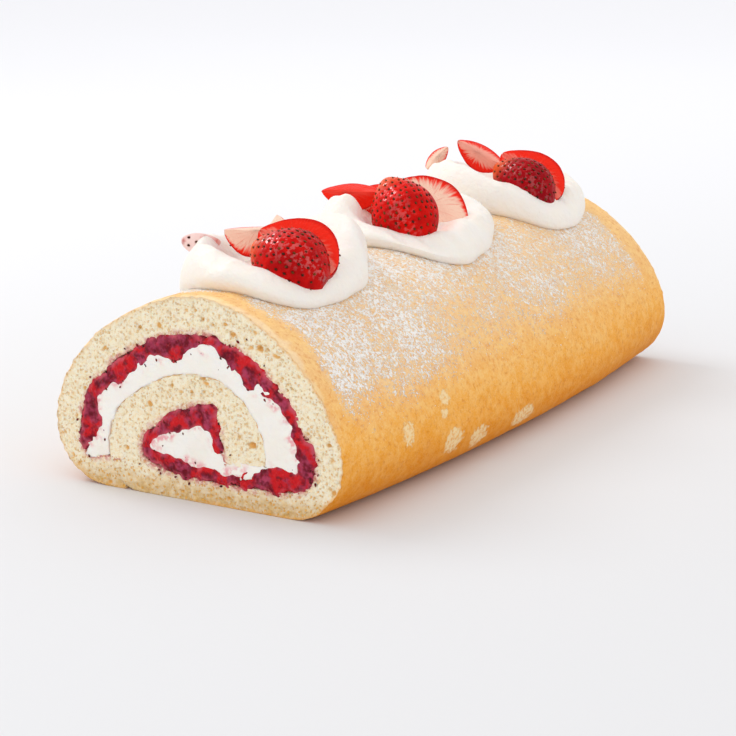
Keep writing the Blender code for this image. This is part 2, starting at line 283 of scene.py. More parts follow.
class DollopSettings(bpy.types.PropertyGroup):
    """Sizes of the spooned cream on top."""

    sectors: IntProperty(name="Sectors", description="Steps round each dollop", default=260)
    rings: IntProperty(name="Rings", description="Steps from the middle to the rim", default=96)
    fold: length_setting("Folds", "Height of the spoon's folds, in mm", 1.25)
    cream: colour_setting("Cream", "Colour of the cream on top", (245, 239, 232))


class StrawberrySettings(bpy.types.PropertyGroup):
    """Sizes and colours of the cut strawberries."""

    rings: IntProperty(name="Rings", description="Steps along each piece", default=64)
    seed_spacing: length_setting("Seed spacing", "Distance between seeds, in mm", 2.55)
    seed_length: length_setting("Seed length", "Length of a seed, in mm", 1.35)
    dimple: length_setting("Dimple depth", "Depth of the dimple round a seed, in mm", 0.42)
    skin: colour_setting("Skin", "Colour of the ripe skin", (222, 20, 10))
    skin_dark: colour_setting("Dark skin", "Colour of the ripest skin", (156, 6, 12))
    rim: colour_setting("Outer flesh", "Colour of the flesh under the skin", (248, 44, 26))
    core: colour_setting("Inner flesh", "Colour of the pale flesh in the middle", (255, 218, 194))
    seed: colour_setting("Seed", "Colour of the seeds", (62, 20, 8))


class SugarSettings(bpy.types.PropertyGroup):
    """Amount and colour of the icing sugar."""

    grains: IntProperty(name="Grains", description="Loose clumps of icing sugar", default=24000)
    low_line: length_setting("Low line", "Height that the dusting reaches down to, in mm", 33.5)
    bare_end: length_setting("Bare end", "Width of the band without sugar at each cut, in mm", 9.0)
    sugar: colour_setting("Sugar", "Colour of the icing sugar", (250, 247, 244))


class StageSettings(bpy.types.PropertyGroup):
    """Camera, light and floor."""

    lens: FloatProperty(name="Lens", description="Focal length in millimetres", default=100.0)
    camera: FloatVectorProperty(
        name="Camera", description="Place of the camera", default=(0.3525, -0.6237, 0.1929), unit="LENGTH"
    )
    turn: FloatProperty(
        name="Turn", description="Camera's turn to the right of the cut face",
        default=math.radians(30.217), subtype="ANGLE",
    )
    lift: FloatProperty(
        name="Lift", description="Camera's angle above the table",
        default=math.radians(13.847), subtype="ANGLE",
    )
    sky: FloatProperty(name="Sky", description="Strength of the even light", default=1.0)
    key: FloatProperty(name="Key", description="Power of the large light, in watts", default=4.5)
    # The floor's colour at the front, darkened by painted shade; it is painted lighter further back.
    floor: colour_setting("Floor", "Colour of the floor", (225, 225, 227))


# --- numbers ------------------------------------------------------------------------------------
def smoothstep(low, high, value):
    """0 where value is at or before low, 1 where it is at or past high, eased between."""
    t = np.clip((np.asarray(value, float) - low) / (high - low), 0.0, 1.0)
    return t * t * (3 - 2 * t)


def noise(points, cell, seed=0):
    """Smooth noise from -1 to 1 at points (n, 3), with features about one cell across."""
    place = np.asarray(points, float) / cell + 517.0
    base = np.floor(place).astype(np.int64)
    t = place - base
    t = t * t * (3 - 2 * t)
    total = np.zeros(len(place))
    for corner in np.ndindex(2, 2, 2):
        k = base + np.array(corner)
        mix = (k[:, 0] * 73856093) ^ (k[:, 1] * 19349663) ^ (k[:, 2] * 83492791) ^ (seed * 7919)
        mix = ((mix ^ (mix >> 13)) * 60493) & 0x7FFFFFFF
        mix = ((mix ^ (mix >> 11)) * 19990303) & 0x7FFFFFFF
        value = ((mix >> 7) & 0xFFFF) / 32767.5 - 1.0
        total += np.prod(np.where(corner, t, 1 - t), axis=1) * value
    return total


def smooth_path(points, per_span):
    """Catmull-Rom curve through rows of numbers, with per_span samples from each row to the next."""
    rows = np.array(points, float)
    rows = np.vstack([2 * rows[0] - rows[1], rows, 2 * rows[-1] - rows[-2]])
    t = (np.arange(per_span) / per_span)[:, None]
    spans = [
        0.5 * (2 * b + (c - a) * t + (2 * a - 5 * b + 4 * c - d) * t**2 + (3 * b - a - 3 * c + d) * t**3)
        for a, b, c, d in zip(rows, rows[1:], rows[2:], rows[3:])
    ]
    return np.vstack([*spans, rows[-2:-1]])


def cyclic(values, turn):
    """Smooth value at turn (0 to 1, an array) round a ring of evenly spaced values."""
    ring = np.array(values, float)
    n = len(ring)
    at = (np.asarray(turn) % 1.0) * n
    i = np.floor(at).astype(int)
    t = at - i
    a, b, c, d = (ring[(i + k) % n] for k in (-1, 0, 1, 2))
    return 0.5 * (2 * b + (c - a) * t + (2 * a - 5 * b + 4 * c - d) * t**2 + (3 * b - a - 3 * c + d) * t**3)


def even_steps(line, step):
    """line (n, k) sampled again at even steps along its first two columns."""
    run = np.concatenate([[0.0], np.cumsum(np.linalg.norm(np.diff(line[:, :2], axis=0), axis=1))])
    at = np.linspace(0.0, run[-1], max(3, int(run[-1] / step) + 1))
    return at, np.stack([np.interp(at, run, column) for column in line.T], axis=1)


def outward_normals(line):
    """Unit normals on the outer side of a line that runs clockwise round the roll."""
    along = np.gradient(line, axis=0)
    along /= np.linalg.norm(along, axis=1, keepdims=True)
    return np.stack([-along[:, 1], along[:, 0]], axis=1)


def nearest_distance(points, others):
    """Distance from each of points to the nearest of others."""
    found = np.empty(len(points))
    for start in range(0, len(points), 2000):
        block = points[start : start + 2000]
        found[start : start + 2000] = np.sqrt(
            ((block[:, None] - others[None]) ** 2).sum(axis=2).min(axis=1)
        )
    return found


# --- the roll's section -------------------------------------------------------------------------
def sheet_columns(step):
    """Distance along the sheet, its middle line, half thickness and outward normals, at even steps."""
    run, rows = even_steps(smooth_path(SHEET, SAMPLES_PER_SPAN), step)
    return run, rows[:, :2], rows[:, 2] / 2, outward_normals(rows[:, :2])


def clear_offset(line, normals, distance):
    """line moved by distance along normals, without what a tight corner brings back too close to it."""
    moved = line + normals * distance[:, None]
    return moved[nearest_distance(moved, line) > distance * 0.985 - 0.02]


def filling_outlines():
    """Closed outlines of the jam and of the cream in the cut face."""
    run, middle, half, normals = sheet_columns(SHEET_STEP)
    share = run / run[-1]
    filling = middle - normals * half[:, None]
    jammed = (share >= JAM_SPAN[0]) & (share <= JAM_SPAN[1])
    depth = np.interp(share, np.linspace(*JAM_SPAN, len(JAM_THICKNESS)), JAM_THICKNESS)[jammed]
    line, inward = filling[jammed], -normals[jammed]
    inner = clear_offset(line, inward, depth)
    toe = line[0] + inward[0] * depth[0] * 0.6
    jam = np.vstack([line, inner[::-1], toe[None]])

    near_jam = clear_offset(line, inward, depth * 0.55)
    skin = middle + normals * half[:, None]
    ahead = np.array([normals[-1][1], -normals[-1][0]])
    turned = (share >= INNER_TURN) & ((skin[:, 1] > CREAM_FOOT) | (share > 0.8))
    core = np.array([filling[-1] - ahead * 0.5, skin[-1] - ahead * 0.5])
    foot = filling[(share < JAM_SPAN[0]) & (filling[:, 0] < -34.5)] - (0, 0.5)
    cream = np.vstack([near_jam, core, skin[turned][::-1] - normals[turned][::-1] * 0.4, foot])
    return jam, cream


def ragged(outline, step, amount, cell, seed):
    """A closed outline at even steps, moved in and out by up to amount of noise."""
    _, closed = even_steps(np.vstack([outline, outline[:1]]), step)
    ring = closed[:-1]
    along = np.roll(ring, -2, axis=0) - np.roll(ring, 2, axis=0)
    along /= np.maximum(1e-9, np.linalg.norm(along, axis=1, keepdims=True))
    place = np.column_stack([ring, np.zeros(len(ring))])
    shift = amount * (noise(place, cell, seed) + 0.5 * noise(place, cell * 0.4, seed + 1))
    return ring + np.stack([-along[:, 1], along[:, 0]], axis=1) * shift[:, None]


def inside(points, outline):
    """Which points lie inside a closed outline."""
    hit = np.zeros(len(points), bool)
    for (ax, az), (bx, bz) in zip(outline, np.roll(outline, -1, axis=0)):
        if az == bz:
            continue
        spans = (points[:, 1] > min(az, bz)) & (points[:, 1] <= max(az, bz))
        hit ^= spans & (points[:, 0] < ax + (points[:, 1] - az) * (bx - ax) / (bz - az))
    return hit


def filled_region(outline, step, seed):
    """Points (the outline's first) and triangles that cover a closed outline."""
    draw = np.random.default_rng(seed)
    low, high = outline.min(axis=0), outline.max(axis=0)
    grid = np.stack(np.meshgrid(np.arange(low[0], high[0], step), np.arange(low[1], high[1], step)), -1)
    grid = grid.reshape(-1, 2) + draw.uniform(-0.22, 0.22, (grid.size // 2, 2)) * step
    grid = grid[inside(grid, outline)]
    grid = grid[nearest_distance(grid, outline) > step * 0.55]
    points = np.vstack([outline, grid])
    ring = list(range(len(outline)))
    made = delaunay_2d_cdt([Vector(p) for p in points], [], [ring], 1, 1e-5)
    index = [min(origins) if origins else -1 for origins in made[3]]
    faces = [[index[v] for v in face] for face in made[2]]
    return points, [face for face in faces if min(face) >= 0]


def bow_at(y):
    """How far the roll bows towards +X, and how much its foot spreads, at y."""
    middle = 1 - (y / HALF_LENGTH) ** 2
    return BOW * middle, FOOT_SPREAD * middle


def warped(x, y, z):
    """Points of the straight roll, moved to where the bowed and slumped roll has them."""
    bow, spread = bow_at(y)
    low = np.maximum(0.0, 1 - z / BELLY_HEIGHT)
    return np.stack([x * (1 + spread * low) + bow, y + 0 * x, z], axis=-1)


def roof_height(x):
    """Height of the roll's top at x."""
    _, middle, half, normals = sheet_columns(SHEET_STEP)
    skin = middle + normals * half[:, None]
    top = skin[: np.argmax(skin[:, 0]) + 1]
    top = top[np.argmin(top[:, 0]) :]
    return np.interp(x, top[:, 0], top[:, 1])


def skin_relief(points, amount):
    """Height of the skin's dents, ripples and blisters at points."""
    ripples = noise(points * (1.0, 0.45, 1.0), 7.0, 11)
    fine = noise(points, 2.2, 13)
    return amount * (0.7 * noise(points, 16.0, 12) + 0.45 * ripples + 0.3 * fine)


def sugar_cover(points, settings):
    """How thick the icing sugar lies at points, from 0 to 1."""
    _, y, z = points.T
    low_line = settings.low_line + 2.5 * smoothstep(-90, -60, y)
    low_line = low_line + 3 * noise(points, 9.0, 21) + 2 * noise(points, 4.0, 22)
    high = smoothstep(-11, 12, z - low_line)
    from_end = HALF_LENGTH - np.abs(y) - 4 * smoothstep(60, 110, y) + 2.5 * noise(points, 9.0, 23)
    cover = high * smoothstep(settings.bare_end - 4, settings.bare_end + 4, from_end)
    thin = 0.72 * np.exp(-(((y + 22) / 26) ** 2)) * smoothstep(66, 44, z)
    far = 0.2 * smoothstep(-30, 60, y)
    return cover * (0.92 - 0.5 * thin - far + 0.2 * noise(points, 16.0, 24))


# --- meshes -------------------------------------------------------------------------------------
def new_piece(name, vertices, faces, materials, face_slots=None, attributes=None):
    """A piece of the cake: vertices in mm, faces, materials, each face's slot and named vertex values."""
    mesh = bpy.data.meshes.new(name)
    mesh.from_pydata((np.asarray(vertices) * MM).tolist(), [], faces)
    for finish in materials:
        mesh.materials.append(finish)
    if face_slots is not None:
        mesh.polygons.foreach_set("material_index", np.asarray(face_slots, np.int32))
    for label, values in (attributes or {}).items():
        layer = mesh.attributes.new(label, "FLOAT", "POINT")
        layer.data.foreach_set("value", np.asarray(values, np.float32))
    mesh.validate()
    mesh.shade_smooth()
    made = bpy.data.objects.new(name, mesh)
    bpy.context.scene.collection.objects.link(made)
    return made


def point_outwards(piece):
    """Turns every face of a closed piece to face outwards."""
    bm = bmesh.new()
    bm.from_mesh(piece.data)
    bmesh.ops.recalc_face_normals(bm, faces=bm.faces)
    bm.to_mesh(piece.data)
    bm.free()


def grid_faces(index):
    """Quads between neighbouring rows and columns of an index grid."""
    quads = np.stack([index[:-1, :-1], index[:-1, 1:], index[1:, 1:], index[1:, :-1]], axis=-1)
    return quads.reshape(-1, 4).tolist()


def finish_piece(piece, node):
    """The piece rides on the cake and replaces its solid."""
    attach(piece, ROOT)
    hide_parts(node)


# --- node helpers -------------------------------------------------------------------------------
def add_node(tree, kind, inputs=None, **settings):
    """A node with its settings, and its inputs linked or set."""
    made = tree.nodes.new(kind)
    for key, value in settings.items():
        setattr(made, key, value)
    for key, value in (inputs or {}).items():
        if isinstance(value, bpy.types.NodeSocket):
            tree.links.new(value, made.inputs[key])
        else:
            made.inputs[key].default_value = value
    return made


def calculate(tree, operation, *values):
    """Result of a maths node on values, each a socket or a number."""
    return add_node(tree, "ShaderNodeMath", dict(enumerate(values)), operation=operation).outputs[0]


def total(tree, first, *others):
    """Sum of values, each a socket or a number."""
    for value in others:
        first = calculate(tree, "ADD", first, value)
    return first


def product(tree, first, *others):
    """Product of values, each a socket or a number."""
    for value in others:
        first = calculate(tree, "MULTIPLY", first, value)
    return first


def between(tree, value, low, high, start=0.0, end=1.0):
    """value from low to high, eased to start to end."""
    ranges = {"Value": value, "From Min": low, "From Max": high, "To Min": start, "To Max": end}
    return add_node(tree, "ShaderNodeMapRange", ranges, interpolation_type="SMOOTHSTEP").outputs["Result"]


def blend(tree, share, first, second):
    """Colour between first and second, each a socket or red, green and blue."""
    ends = [c if isinstance(c, bpy.types.NodeSocket) else (*c, 1.0) for c in (first, second)]
    mix = add_node(tree, "ShaderNodeMix", {0: share, 6: ends[0], 7: ends[1]}, data_type="RGBA")
    return mix.outputs[2]


def tint(tree, base, display, *shares):
    """base, moved towards a display colour by the product of shares."""
    return blend(tree, product(tree, *shares), base, srgb(*display))


def place_in_mm(tree):
    """Place on the piece, in millimetres."""
    found = add_node(tree, "ShaderNodeTexCoord").outputs["Object"]
    return add_node(tree, "ShaderNodeVectorMath", {0: found, "Scale": 1000.0}, operation="SCALE").outputs[0]


def mottle(tree, place, cell, detail=3.0, roughness=0.55):
    """Cloudy value around 0.5, with features about one cell across."""
    sizes = {"Vector": place, "Scale": 1.0 / cell, "Detail": detail, "Roughness": roughness}
    return add_node(tree, "ShaderNodeTexNoise", sizes).outputs["Fac"]


def vertex_value(tree, label):
    """The named vertex value, where the surface is shaded."""
    return add_node(tree, "ShaderNodeAttribute", attribute_name=label).outputs["Fac"]


def new_group(name, inputs, outputs):
    """A shader node group with named inputs and outputs: name, type and default."""
    tree = bpy.data.node_groups.new(name, "ShaderNodeTree")
    for label, kind, default in inputs:
        socket = tree.interface.new_socket(label, in_out="INPUT", socket_type=kind)
        if default is not None:
            socket.default_value = default
    for label, kind in outputs:
        tree.interface.new_socket(label, in_out="OUTPUT", socket_type=kind)
    return tree, tree.nodes.new("NodeGroupInput"), tree.nodes.new("NodeGroupOutput")


def pore_group():
    """Air holes: a mask of round pores and the height of the surface round them."""
    if "cake_pores" in bpy.data.node_groups:
        return bpy.data.node_groups["cake_pores"]
    inputs = (
        ("Place", "NodeSocketVector", None),
        ("Cell", "NodeSocketFloat", 1.0),
        ("Size", "NodeSocketFloat", 0.3),
    )
    outputs = (("Mask", "NodeSocketFloat"), ("Height", "NodeSocketFloat"))
    tree, given, result = new_group("cake_pores", inputs, outputs)
    place, cell, size = given.outputs[:3]
    scale = calculate(tree, "DIVIDE", 1.0, cell)
    wobble = add_node(tree, "ShaderNodeTexNoise", {"Vector": place, "Scale": scale, "Detail": 2.0})
    ends = {0: wobble.outputs["Color"], 1: cell}
    shift = add_node(tree, "ShaderNodeVectorMath", ends, operation="MULTIPLY").outputs[0]
    moved = add_node(tree, "ShaderNodeVectorMath", {0: place, 1: shift}, operation="ADD").outputs[0]
    cells = add_node(tree, "ShaderNodeTexVoronoi", {"Vector": moved, "Scale": scale})
    odd = add_node(tree, "ShaderNodeSeparateColor", {"Color": cells.outputs["Color"]}).outputs[0]
    radius = product(tree, size, odd, 1.6)
    mask = between(tree, cells.outputs["Distance"], radius, total(tree, radius, 0.12), 1.0, 0.0)
    tree.links.new(mask, result.inputs["Mask"])
    tree.links.new(calculate(tree, "SUBTRACT", 1.0, mask), result.inputs["Height"])
    return tree


def fleck_group():
    """Powder: a mask of fine specks that close up as the cover rises."""
    if "cake_flecks" in bpy.data.node_groups:
        return bpy.data.node_groups["cake_flecks"]
    inputs = (
        ("Place", "NodeSocketVector", None),
        ("Cell", "NodeSocketFloat", 0.8),
        ("Cover", "NodeSocketFloat", 0.5),
    )
    tree, given, result = new_group("cake_flecks", inputs, (("Mask", "NodeSocketFloat"),))
    place, cell, cover = given.outputs[:3]
    fine = calculate(tree, "DIVIDE", 1.0, cell)
    speckle = {"Vector": place, "Scale": fine, "Detail": 2.0, "Roughness": 0.7}
    drift = {"Vector": place, "Scale": product(tree, fine, 0.3), "Detail": 3.0}
    specks, drifts = (
        add_node(tree, "ShaderNodeTexNoise", sizes).outputs["Fac"] for sizes in (speckle, drift)
    )
    level = total(tree, product(tree, specks, 0.65), product(tree, drifts, 0.35))
    ranges = {"Value": cover, "To Min": 0.68, "To Max": 0.42}
    need = add_node(tree, "ShaderNodeMapRange", ranges).outputs["Result"]
    mask = between(tree, calculate(tree, "SUBTRACT", level, need), -0.02, 0.05)
    tree.links.new(mask, result.inputs["Mask"])
    return tree


def use_group(tree, group, **inputs):
    """A group's outputs, with its inputs linked or set."""
    return add_node(tree, "ShaderNodeGroup", inputs, node_tree=group).outputs


def new_finish(name, **fixed):
    """A material with its shader's uniform values set; returns it with its tree and shader."""
    made = bpy.data.materials.new(name)
    made.use_nodes = True
    shader = made.node_tree.nodes["Principled BSDF"]
    for key, value in fixed.items():
        shader.inputs[key.replace("_", " ")].default_value = value
    return made, made.node_tree, shader


def set_surface(tree, shader, base, relief=None, depth=0.0):
    """Links a colour, and a relief with its depth in metres, to the shader."""
    tree.links.new(base, shader.inputs["Base Color"])
    if relief is not None:
        bump = add_node(tree, "ShaderNodeBump", {"Height": relief, "Distance": depth})
        tree.links.new(bump.outputs["Normal"], shader.inputs["Normal"])


# --- materials ----------------------------------------------------------------------------------
def crumb_finish(settings):
    """Cut sponge: pale, full of fine pores with painted shade in them, darker towards the bottom, stained by
    the jam.
    """
    made, tree, shader = new_finish(
        "sponge_crumb", Roughness=0.85, Specular_IOR_Level=0.08,
        Subsurface_Weight=0.1, Subsurface_Radius=(0.004, 0.0028, 0.0015),
    )
    place = place_in_mm(tree)
    height = add_node(tree, "ShaderNodeSeparateXYZ", {0: place}).outputs[2]
    level = total(tree, height, product(tree, mottle(tree, place, 5.0), 4.0))
    # Darker towards the bottom of the cut.
    base = blend(tree, between(tree, level, 3.0, 11.0, 1.0, 0.0), settings.crumb, settings.crumb_low)
    cloud = between(tree, mottle(tree, place, 2.4), 0.35, 0.7, 0.0, 0.5)
    base = tint(tree, base, (255, 250, 234), cloud)
    weave = between(tree, mottle(tree, place, 0.95, 4.0, 0.75), 0.46, 0.6, 0.0, 0.4)
    base = tint(tree, base, (250, 212, 140), weave)
    fine = use_group(tree, pore_group(), Place=place, Cell=1.05, Size=0.25)
    tiny = use_group(tree, pore_group(), Place=place, Cell=0.5, Size=0.2)
    open_low = between(tree, height, 4.0, 14.0, 0.85, 0.51)
    pores = total(tree, product(tree, fine["Mask"], open_low), product(tree, tiny["Mask"], 0.25))
    # Painted shade in the fine pores and in the air holes.
    hole = between(tree, vertex_value(tree, "hole"), 0.1, 0.8, 0.0, 0.85)
    base = blend(tree, calculate(tree, "MAXIMUM", pores, hole), base, settings.pore_painted_shade)
    depth = total(tree, vertex_value(tree, "depth"), product(tree, mottle(tree, place, 1.2), 1.6))
    crust = product(tree, between(tree, depth, 0.7, 2.2, 0.6, 0.0), vertex_value(tree, "crusted"))
    base = blend(tree, crust, base, settings.skin_side)
    patchy = between(tree, mottle(tree, place, 7.0, 2.0), 0.38, 0.54)
    speckled = between(tree, mottle(tree, place, 1.3), 0.3, 0.58)
    base = tint(tree, base, (206, 92, 104), vertex_value(tree, "stain"), patchy, speckled)
    grit = mottle(tree, place, 0.9, 4.0, 0.75)
    relief = total(tree, fine["Height"], product(tree, tiny["Height"], 0.4), grit)
    set_surface(tree, shader, base, relief, 0.0002)
    return made


def skin_finish(settings, sugar):
    """Baked skin: golden, finely mottled, dusted with icing sugar, and deeper amber lower down, where
    painted shade and painted warm reflected light darken it.
    """
    made, tree, shader = new_finish(
        "sponge_skin", Specular_IOR_Level=0.06,
        Subsurface_Weight=0.03, Subsurface_Radius=(0.003, 0.0015, 0.0007),
    )
    place = place_in_mm(tree)
    height = add_node(tree, "ShaderNodeSeparateXYZ", {0: place}).outputs[2]
    level = total(tree, height, product(tree, mottle(tree, place, 14.0), 16.0), -8.0)
    base = blend(tree, between(tree, level, 18.0, 52.0), settings.skin_side, settings.skin_top)
    # Painted shade and painted warm reflected light: the skin turns darker amber towards the table.
    base = blend(tree, between(tree, level, 4.0, 26.0, 1.0, 0.0), base, settings.skin_low_painted_shade)
    upper = between(tree, level, 4.0, 40.0, 0.3, 1.0)
    blotch = between(tree, mottle(tree, place, 3.4, 4.0), 0.38, 0.66, 0.0, 0.5)
    base = tint(tree, base, (254, 214, 140), blotch, upper)
    toast = between(tree, mottle(tree, place, 1.5, 4.0), 0.5, 0.72, 0.0, 0.5)
    base = tint(tree, base, (212, 120, 26), toast)
    fine = between(tree, mottle(tree, place, 0.55, 2.0), 0.42, 0.7, 0.0, 0.4)
    base = tint(tree, base, (255, 220, 160), fine, upper)
    base = blend(tree, product(tree, vertex_value(tree, "worn"), 0.4), base, settings.crumb)
    torn = torn_patches(tree, place)
    base = tint(tree, base, (250, 224, 174), torn)
    white = sugar_dust(tree, place)
    base = blend(tree, product(tree, white, 0.95), base, sugar.sugar)
    tree.links.new(between(tree, white, 0.0, 1.0, 0.6, 0.9), shader.inputs["Roughness"])
    relief = total(tree, product(tree, mottle(tree, place, 0.9), 0.8), white, product(tree, torn, -0.8))
    set_surface(tree, shader, base, relief, 0.00022)
    return made


def sugar_dust(tree, place):
    """How white the icing sugar makes the skin: fine flecks over a faint haze, with bare specks."""
    cover = vertex_value(tree, "sugar")
    flecks = use_group(tree, fleck_group(), Place=place, Cell=0.75, Cover=cover)["Mask"]
    flecks = product(tree, flecks, between(tree, cover, 0.02, 0.2))
    white = calculate(tree, "MAXIMUM", flecks, between(tree, cover, 0.1, 1.0, 0.0, 0.24))
    return product(tree, white, between(tree, mottle(tree, place, 1.0, 2.0), 0.55, 0.62, 1.0, 0.1))


def torn_patches(tree, place):
    """Mask of the patches where the skin has come away from the crumb."""
    x, y, z = add_node(tree, "ShaderNodeSeparateXYZ", {0: place}).outputs
    fray = product(tree, mottle(tree, place, 1.8, 4.0), 1.5)
    patches = 0.0
    for middle, level, long, tall in TORN:
        across = calculate(tree, "DIVIDE", calculate(tree, "SUBTRACT", y, middle), long)
        upward = calculate(tree, "DIVIDE", calculate(tree, "SUBTRACT", z, level), tall)
        squares = total(tree, product(tree, across, across), product(tree, upward, upward))
        far = total(tree, calculate(tree, "SQRT", squares), fray)
        patches = calculate(tree, "MAXIMUM", patches, between(tree, far, 1.45, 1.7, 1.0, 0.0))
    right_side = between(tree, x, 20.0, 24.0)
    lace = between(tree, mottle(tree, place, 1.2), 0.38, 0.54, 0.25, 0.85)
    return product(tree, patches, right_side, lace)


def jam_finish(settings):
    """Berry jam: dark and bright lumps under a wet surface, pink where the cream has mixed in."""
    made, tree, shader = new_finish("berry_jam", Roughness=0.3, Specular_IOR_Level=0.12)
    place = place_in_mm(tree)
    creamy = between(tree, mottle(tree, place, 3.4, 2.0), 0.38, 0.66)
    base = blend(tree, creamy, settings.jam_dark, settings.jam_pink)
    base = blend(tree, between(tree, mottle(tree, place, 5.5), 0.43, 0.6), base, settings.jam_bright)
    base = tint(tree, base, (226, 58, 62), between(tree, mottle(tree, place, 1.1), 0.52, 0.7, 0.0, 0.4))
    base = tint(tree, base, (84, 6, 24), between(tree, mottle(tree, place, 2.2), 0.5, 0.68, 0.0, 0.75))
    smeared = between(tree, mottle(tree, place, 4.0), 0.42, 0.6)
    base = tint(tree, base, (206, 88, 104), vertex_value(tree, "rim"), smeared)
    beads = add_node(tree, "ShaderNodeTexVoronoi", {"Vector": place, "Scale": 0.9}, feature="SMOOTH_F1")
    relief = calculate(tree, "SUBTRACT", 1.0, beads.outputs["Distance"])
    set_surface(tree, shader, base, relief, 0.0005)
    return made


def cream_finish(name, tone, stain):
    """Whipped cream: smooth and satin, faintly uneven, stained where the jam touches it."""
    made, tree, shader = new_finish(
        name, Roughness=0.45, Specular_IOR_Level=0.3,
        Subsurface_Weight=0.2, Subsurface_Radius=(0.005, 0.0035, 0.0025),
    )
    place = place_in_mm(tree)
    cloud = mottle(tree, place, 9.0, 2.0)
    base = blend(tree, between(tree, cloud, 0.35, 0.7, 0.0, 0.4), tone, srgb(250, 240, 224))
    patchy = between(tree, cloud, 0.46, 0.6)
    speckled = between(tree, mottle(tree, place, 2.2), 0.38, 0.6)
    base = blend(tree, product(tree, vertex_value(tree, "stain"), patchy, speckled), base, stain)
    relief = total(tree, mottle(tree, place, 2.4), product(tree, mottle(tree, place, 0.5), 0.15))
    set_surface(tree, shader, base, relief, 0.0005)
    return made


def berry_skin_finish(settings):
    """Strawberry skin: ripe red, darker towards the tip, paler at the hulled end, with painted shade in the
    dimples round the seeds, beaded with juice.
    """
    made, tree, shader = new_finish(
        "strawberry_skin", Roughness=0.26, Specular_IOR_Level=0.05, Coat_Roughness=0.12, Coat_IOR=1.9
    )
    place = place_in_mm(tree)
    along = vertex_value(tree, "along")
    cloud = between(tree, mottle(tree, place, 6.0, 2.0), 0.35, 0.65, -0.3, 0.35)
    ripe = total(tree, cloud, between(tree, along, 0.0, 0.9, 0.45, 0.1))
    base = blend(tree, ripe, settings.skin, settings.skin_dark)
    base = tint(tree, base, (132, 4, 22), vertex_value(tree, "dark"))
    base = tint(tree, base, (246, 104, 40), between(tree, along, 0.72, 1.0, 0.0, 0.75))
    patchy = between(tree, mottle(tree, place, 5.0), 0.2, 0.5)
    base = tint(tree, base, (255, 228, 222), vertex_value(tree, "unripe"), patchy)
    # Painted shade in the dimples round the seeds.
    pit_painted_shade = between(tree, vertex_value(tree, "dimple"), 0.25, 0.95, 0.0, 0.32)
    base = tint(tree, base, (112, 6, 8), pit_painted_shade)
    beads = between(tree, mottle(tree, place, 1.3, 2.0), 0.5, 0.56)
    tree.links.new(product(tree, vertex_value(tree, "wet"), beads), shader.inputs["Coat Weight"])
    set_surface(tree, shader, base, mottle(tree, place, 0.9), 0.00012)
    return made


def berry_flesh_finish(settings):
    """Cut strawberry: bright red under the skin, pale streaks fanning out from a pale core."""
    made, tree, shader = new_finish("strawberry_flesh", Roughness=0.3, Specular_IOR_Level=0.06)
    place = place_in_mm(tree)
    out = vertex_value(tree, "out")
    pale = vertex_value(tree, "pale")
    fan = {0: product(tree, vertex_value(tree, "fan"), 4.0), 1: product(tree, out, 0.6)}
    streaks = mottle(tree, add_node(tree, "ShaderNodeCombineXYZ", fan).outputs[0], 0.5)
    reach = total(tree, out, between(tree, streaks, 0.3, 0.7, 0.16, -0.16))
    edge = total(tree, product(tree, pale, 0.5), 0.32)
    core = between(tree, calculate(tree, "SUBTRACT", reach, edge), -0.22, 0.12, 1.0, 0.0)
    core = product(tree, core, between(tree, pale, 0.0, 1.0, 0.05, 0.97))
    base = blend(tree, core, settings.rim, settings.core)
    base = tint(tree, base, (238, 96, 66), between(tree, streaks, 0.56, 0.66, 0.0, 0.5), pale)
    base = tint(tree, base, (206, 14, 12), between(tree, out, 0.86, 1.0, 0.0, 0.85))
    relief = total(tree, product(tree, streaks, 1.5), mottle(tree, place, 0.7))
    set_surface(tree, shader, base, relief, 0.00025)
    return made


def seed_finish(settings):
    """Strawberry seed: hard, dark to golden brown."""
    made, tree, shader = new_finish("strawberry_seed", Roughness=0.35, Specular_IOR_Level=0.15)
    tone = between(tree, mottle(tree, place_in_mm(tree), 3.0), 0.35, 0.65)
    set_surface(tree, shader, blend(tree, tone, settings.seed, srgb(120, 66, 16)))
    return made


def pip_finish():
    """Jam pip: dark and shiny."""
    made, tree, shader = new_finish("jam_pip", Roughness=0.3, Specular_IOR_Level=0.2)
    tone = between(tree, mottle(tree, place_in_mm(tree), 4.0), 0.4, 0.6)
    set_surface(tree, shader, blend(tree, tone, srgb(58, 10, 14), srgb(120, 26, 20)))
    return made


def sugar_finish(settings):
    """Icing sugar: white powder."""
    made, tree, shader = new_finish(
        "icing_sugar", Roughness=0.9, Subsurface_Weight=0.2, Subsurface_Radius=(0.001, 0.001, 0.001)
    )
    shade = mottle(tree, place_in_mm(tree), 0.7)
    set_surface(tree, shader, blend(tree, shade, settings.sugar, srgb(240, 234, 228)))
    return made


# --- the roll's pieces --------------------------------------------------------------------------
def large_holes(flat):
    """Depth of the listed air holes at points in a cut."""
    depth = np.zeros(len(flat))
    for x, z, size in LARGE_HOLES:
        far = np.hypot(flat[:, 0] - x, (flat[:, 2] - z) * 1.25) / size
        depth = np.maximum(depth, np.clip(1 - far**2, 0, 1) ** 0.5 * size * 1.3)
    return depth


def punch_holes(run, width, count, sizes, depth, seed):
    """Depth of round and oval holes on a grid of columns (run) and rows (width across the sheet)."""
    draw = np.random.default_rng(seed)
    across = np.linspace(0.0, 1.0, width.shape[1])
    holes = np.zeros(width.shape)
    for _ in range(count):
        at, side = draw.uniform(0, run[-1]), draw.uniform(0.06, 0.97)
        size = draw.uniform(0, 1) ** 2 * (sizes[1] - sizes[0]) + sizes[0]
        stretch = draw.uniform(1.0, 1.9)
        near = np.nonzero(np.abs(run - at) < size * stretch)[0]
        if not len(near):
            continue
        along = ((run[near] - at) / (size * stretch))[:, None]
        over = (across[None] - side) * width[near] / size
        bowl = np.clip(1.0 - along**2 - over**2, 0.0, 1.0) ** 0.6
        holes[near] = np.maximum(holes[near], bowl * depth * size)
    return holes


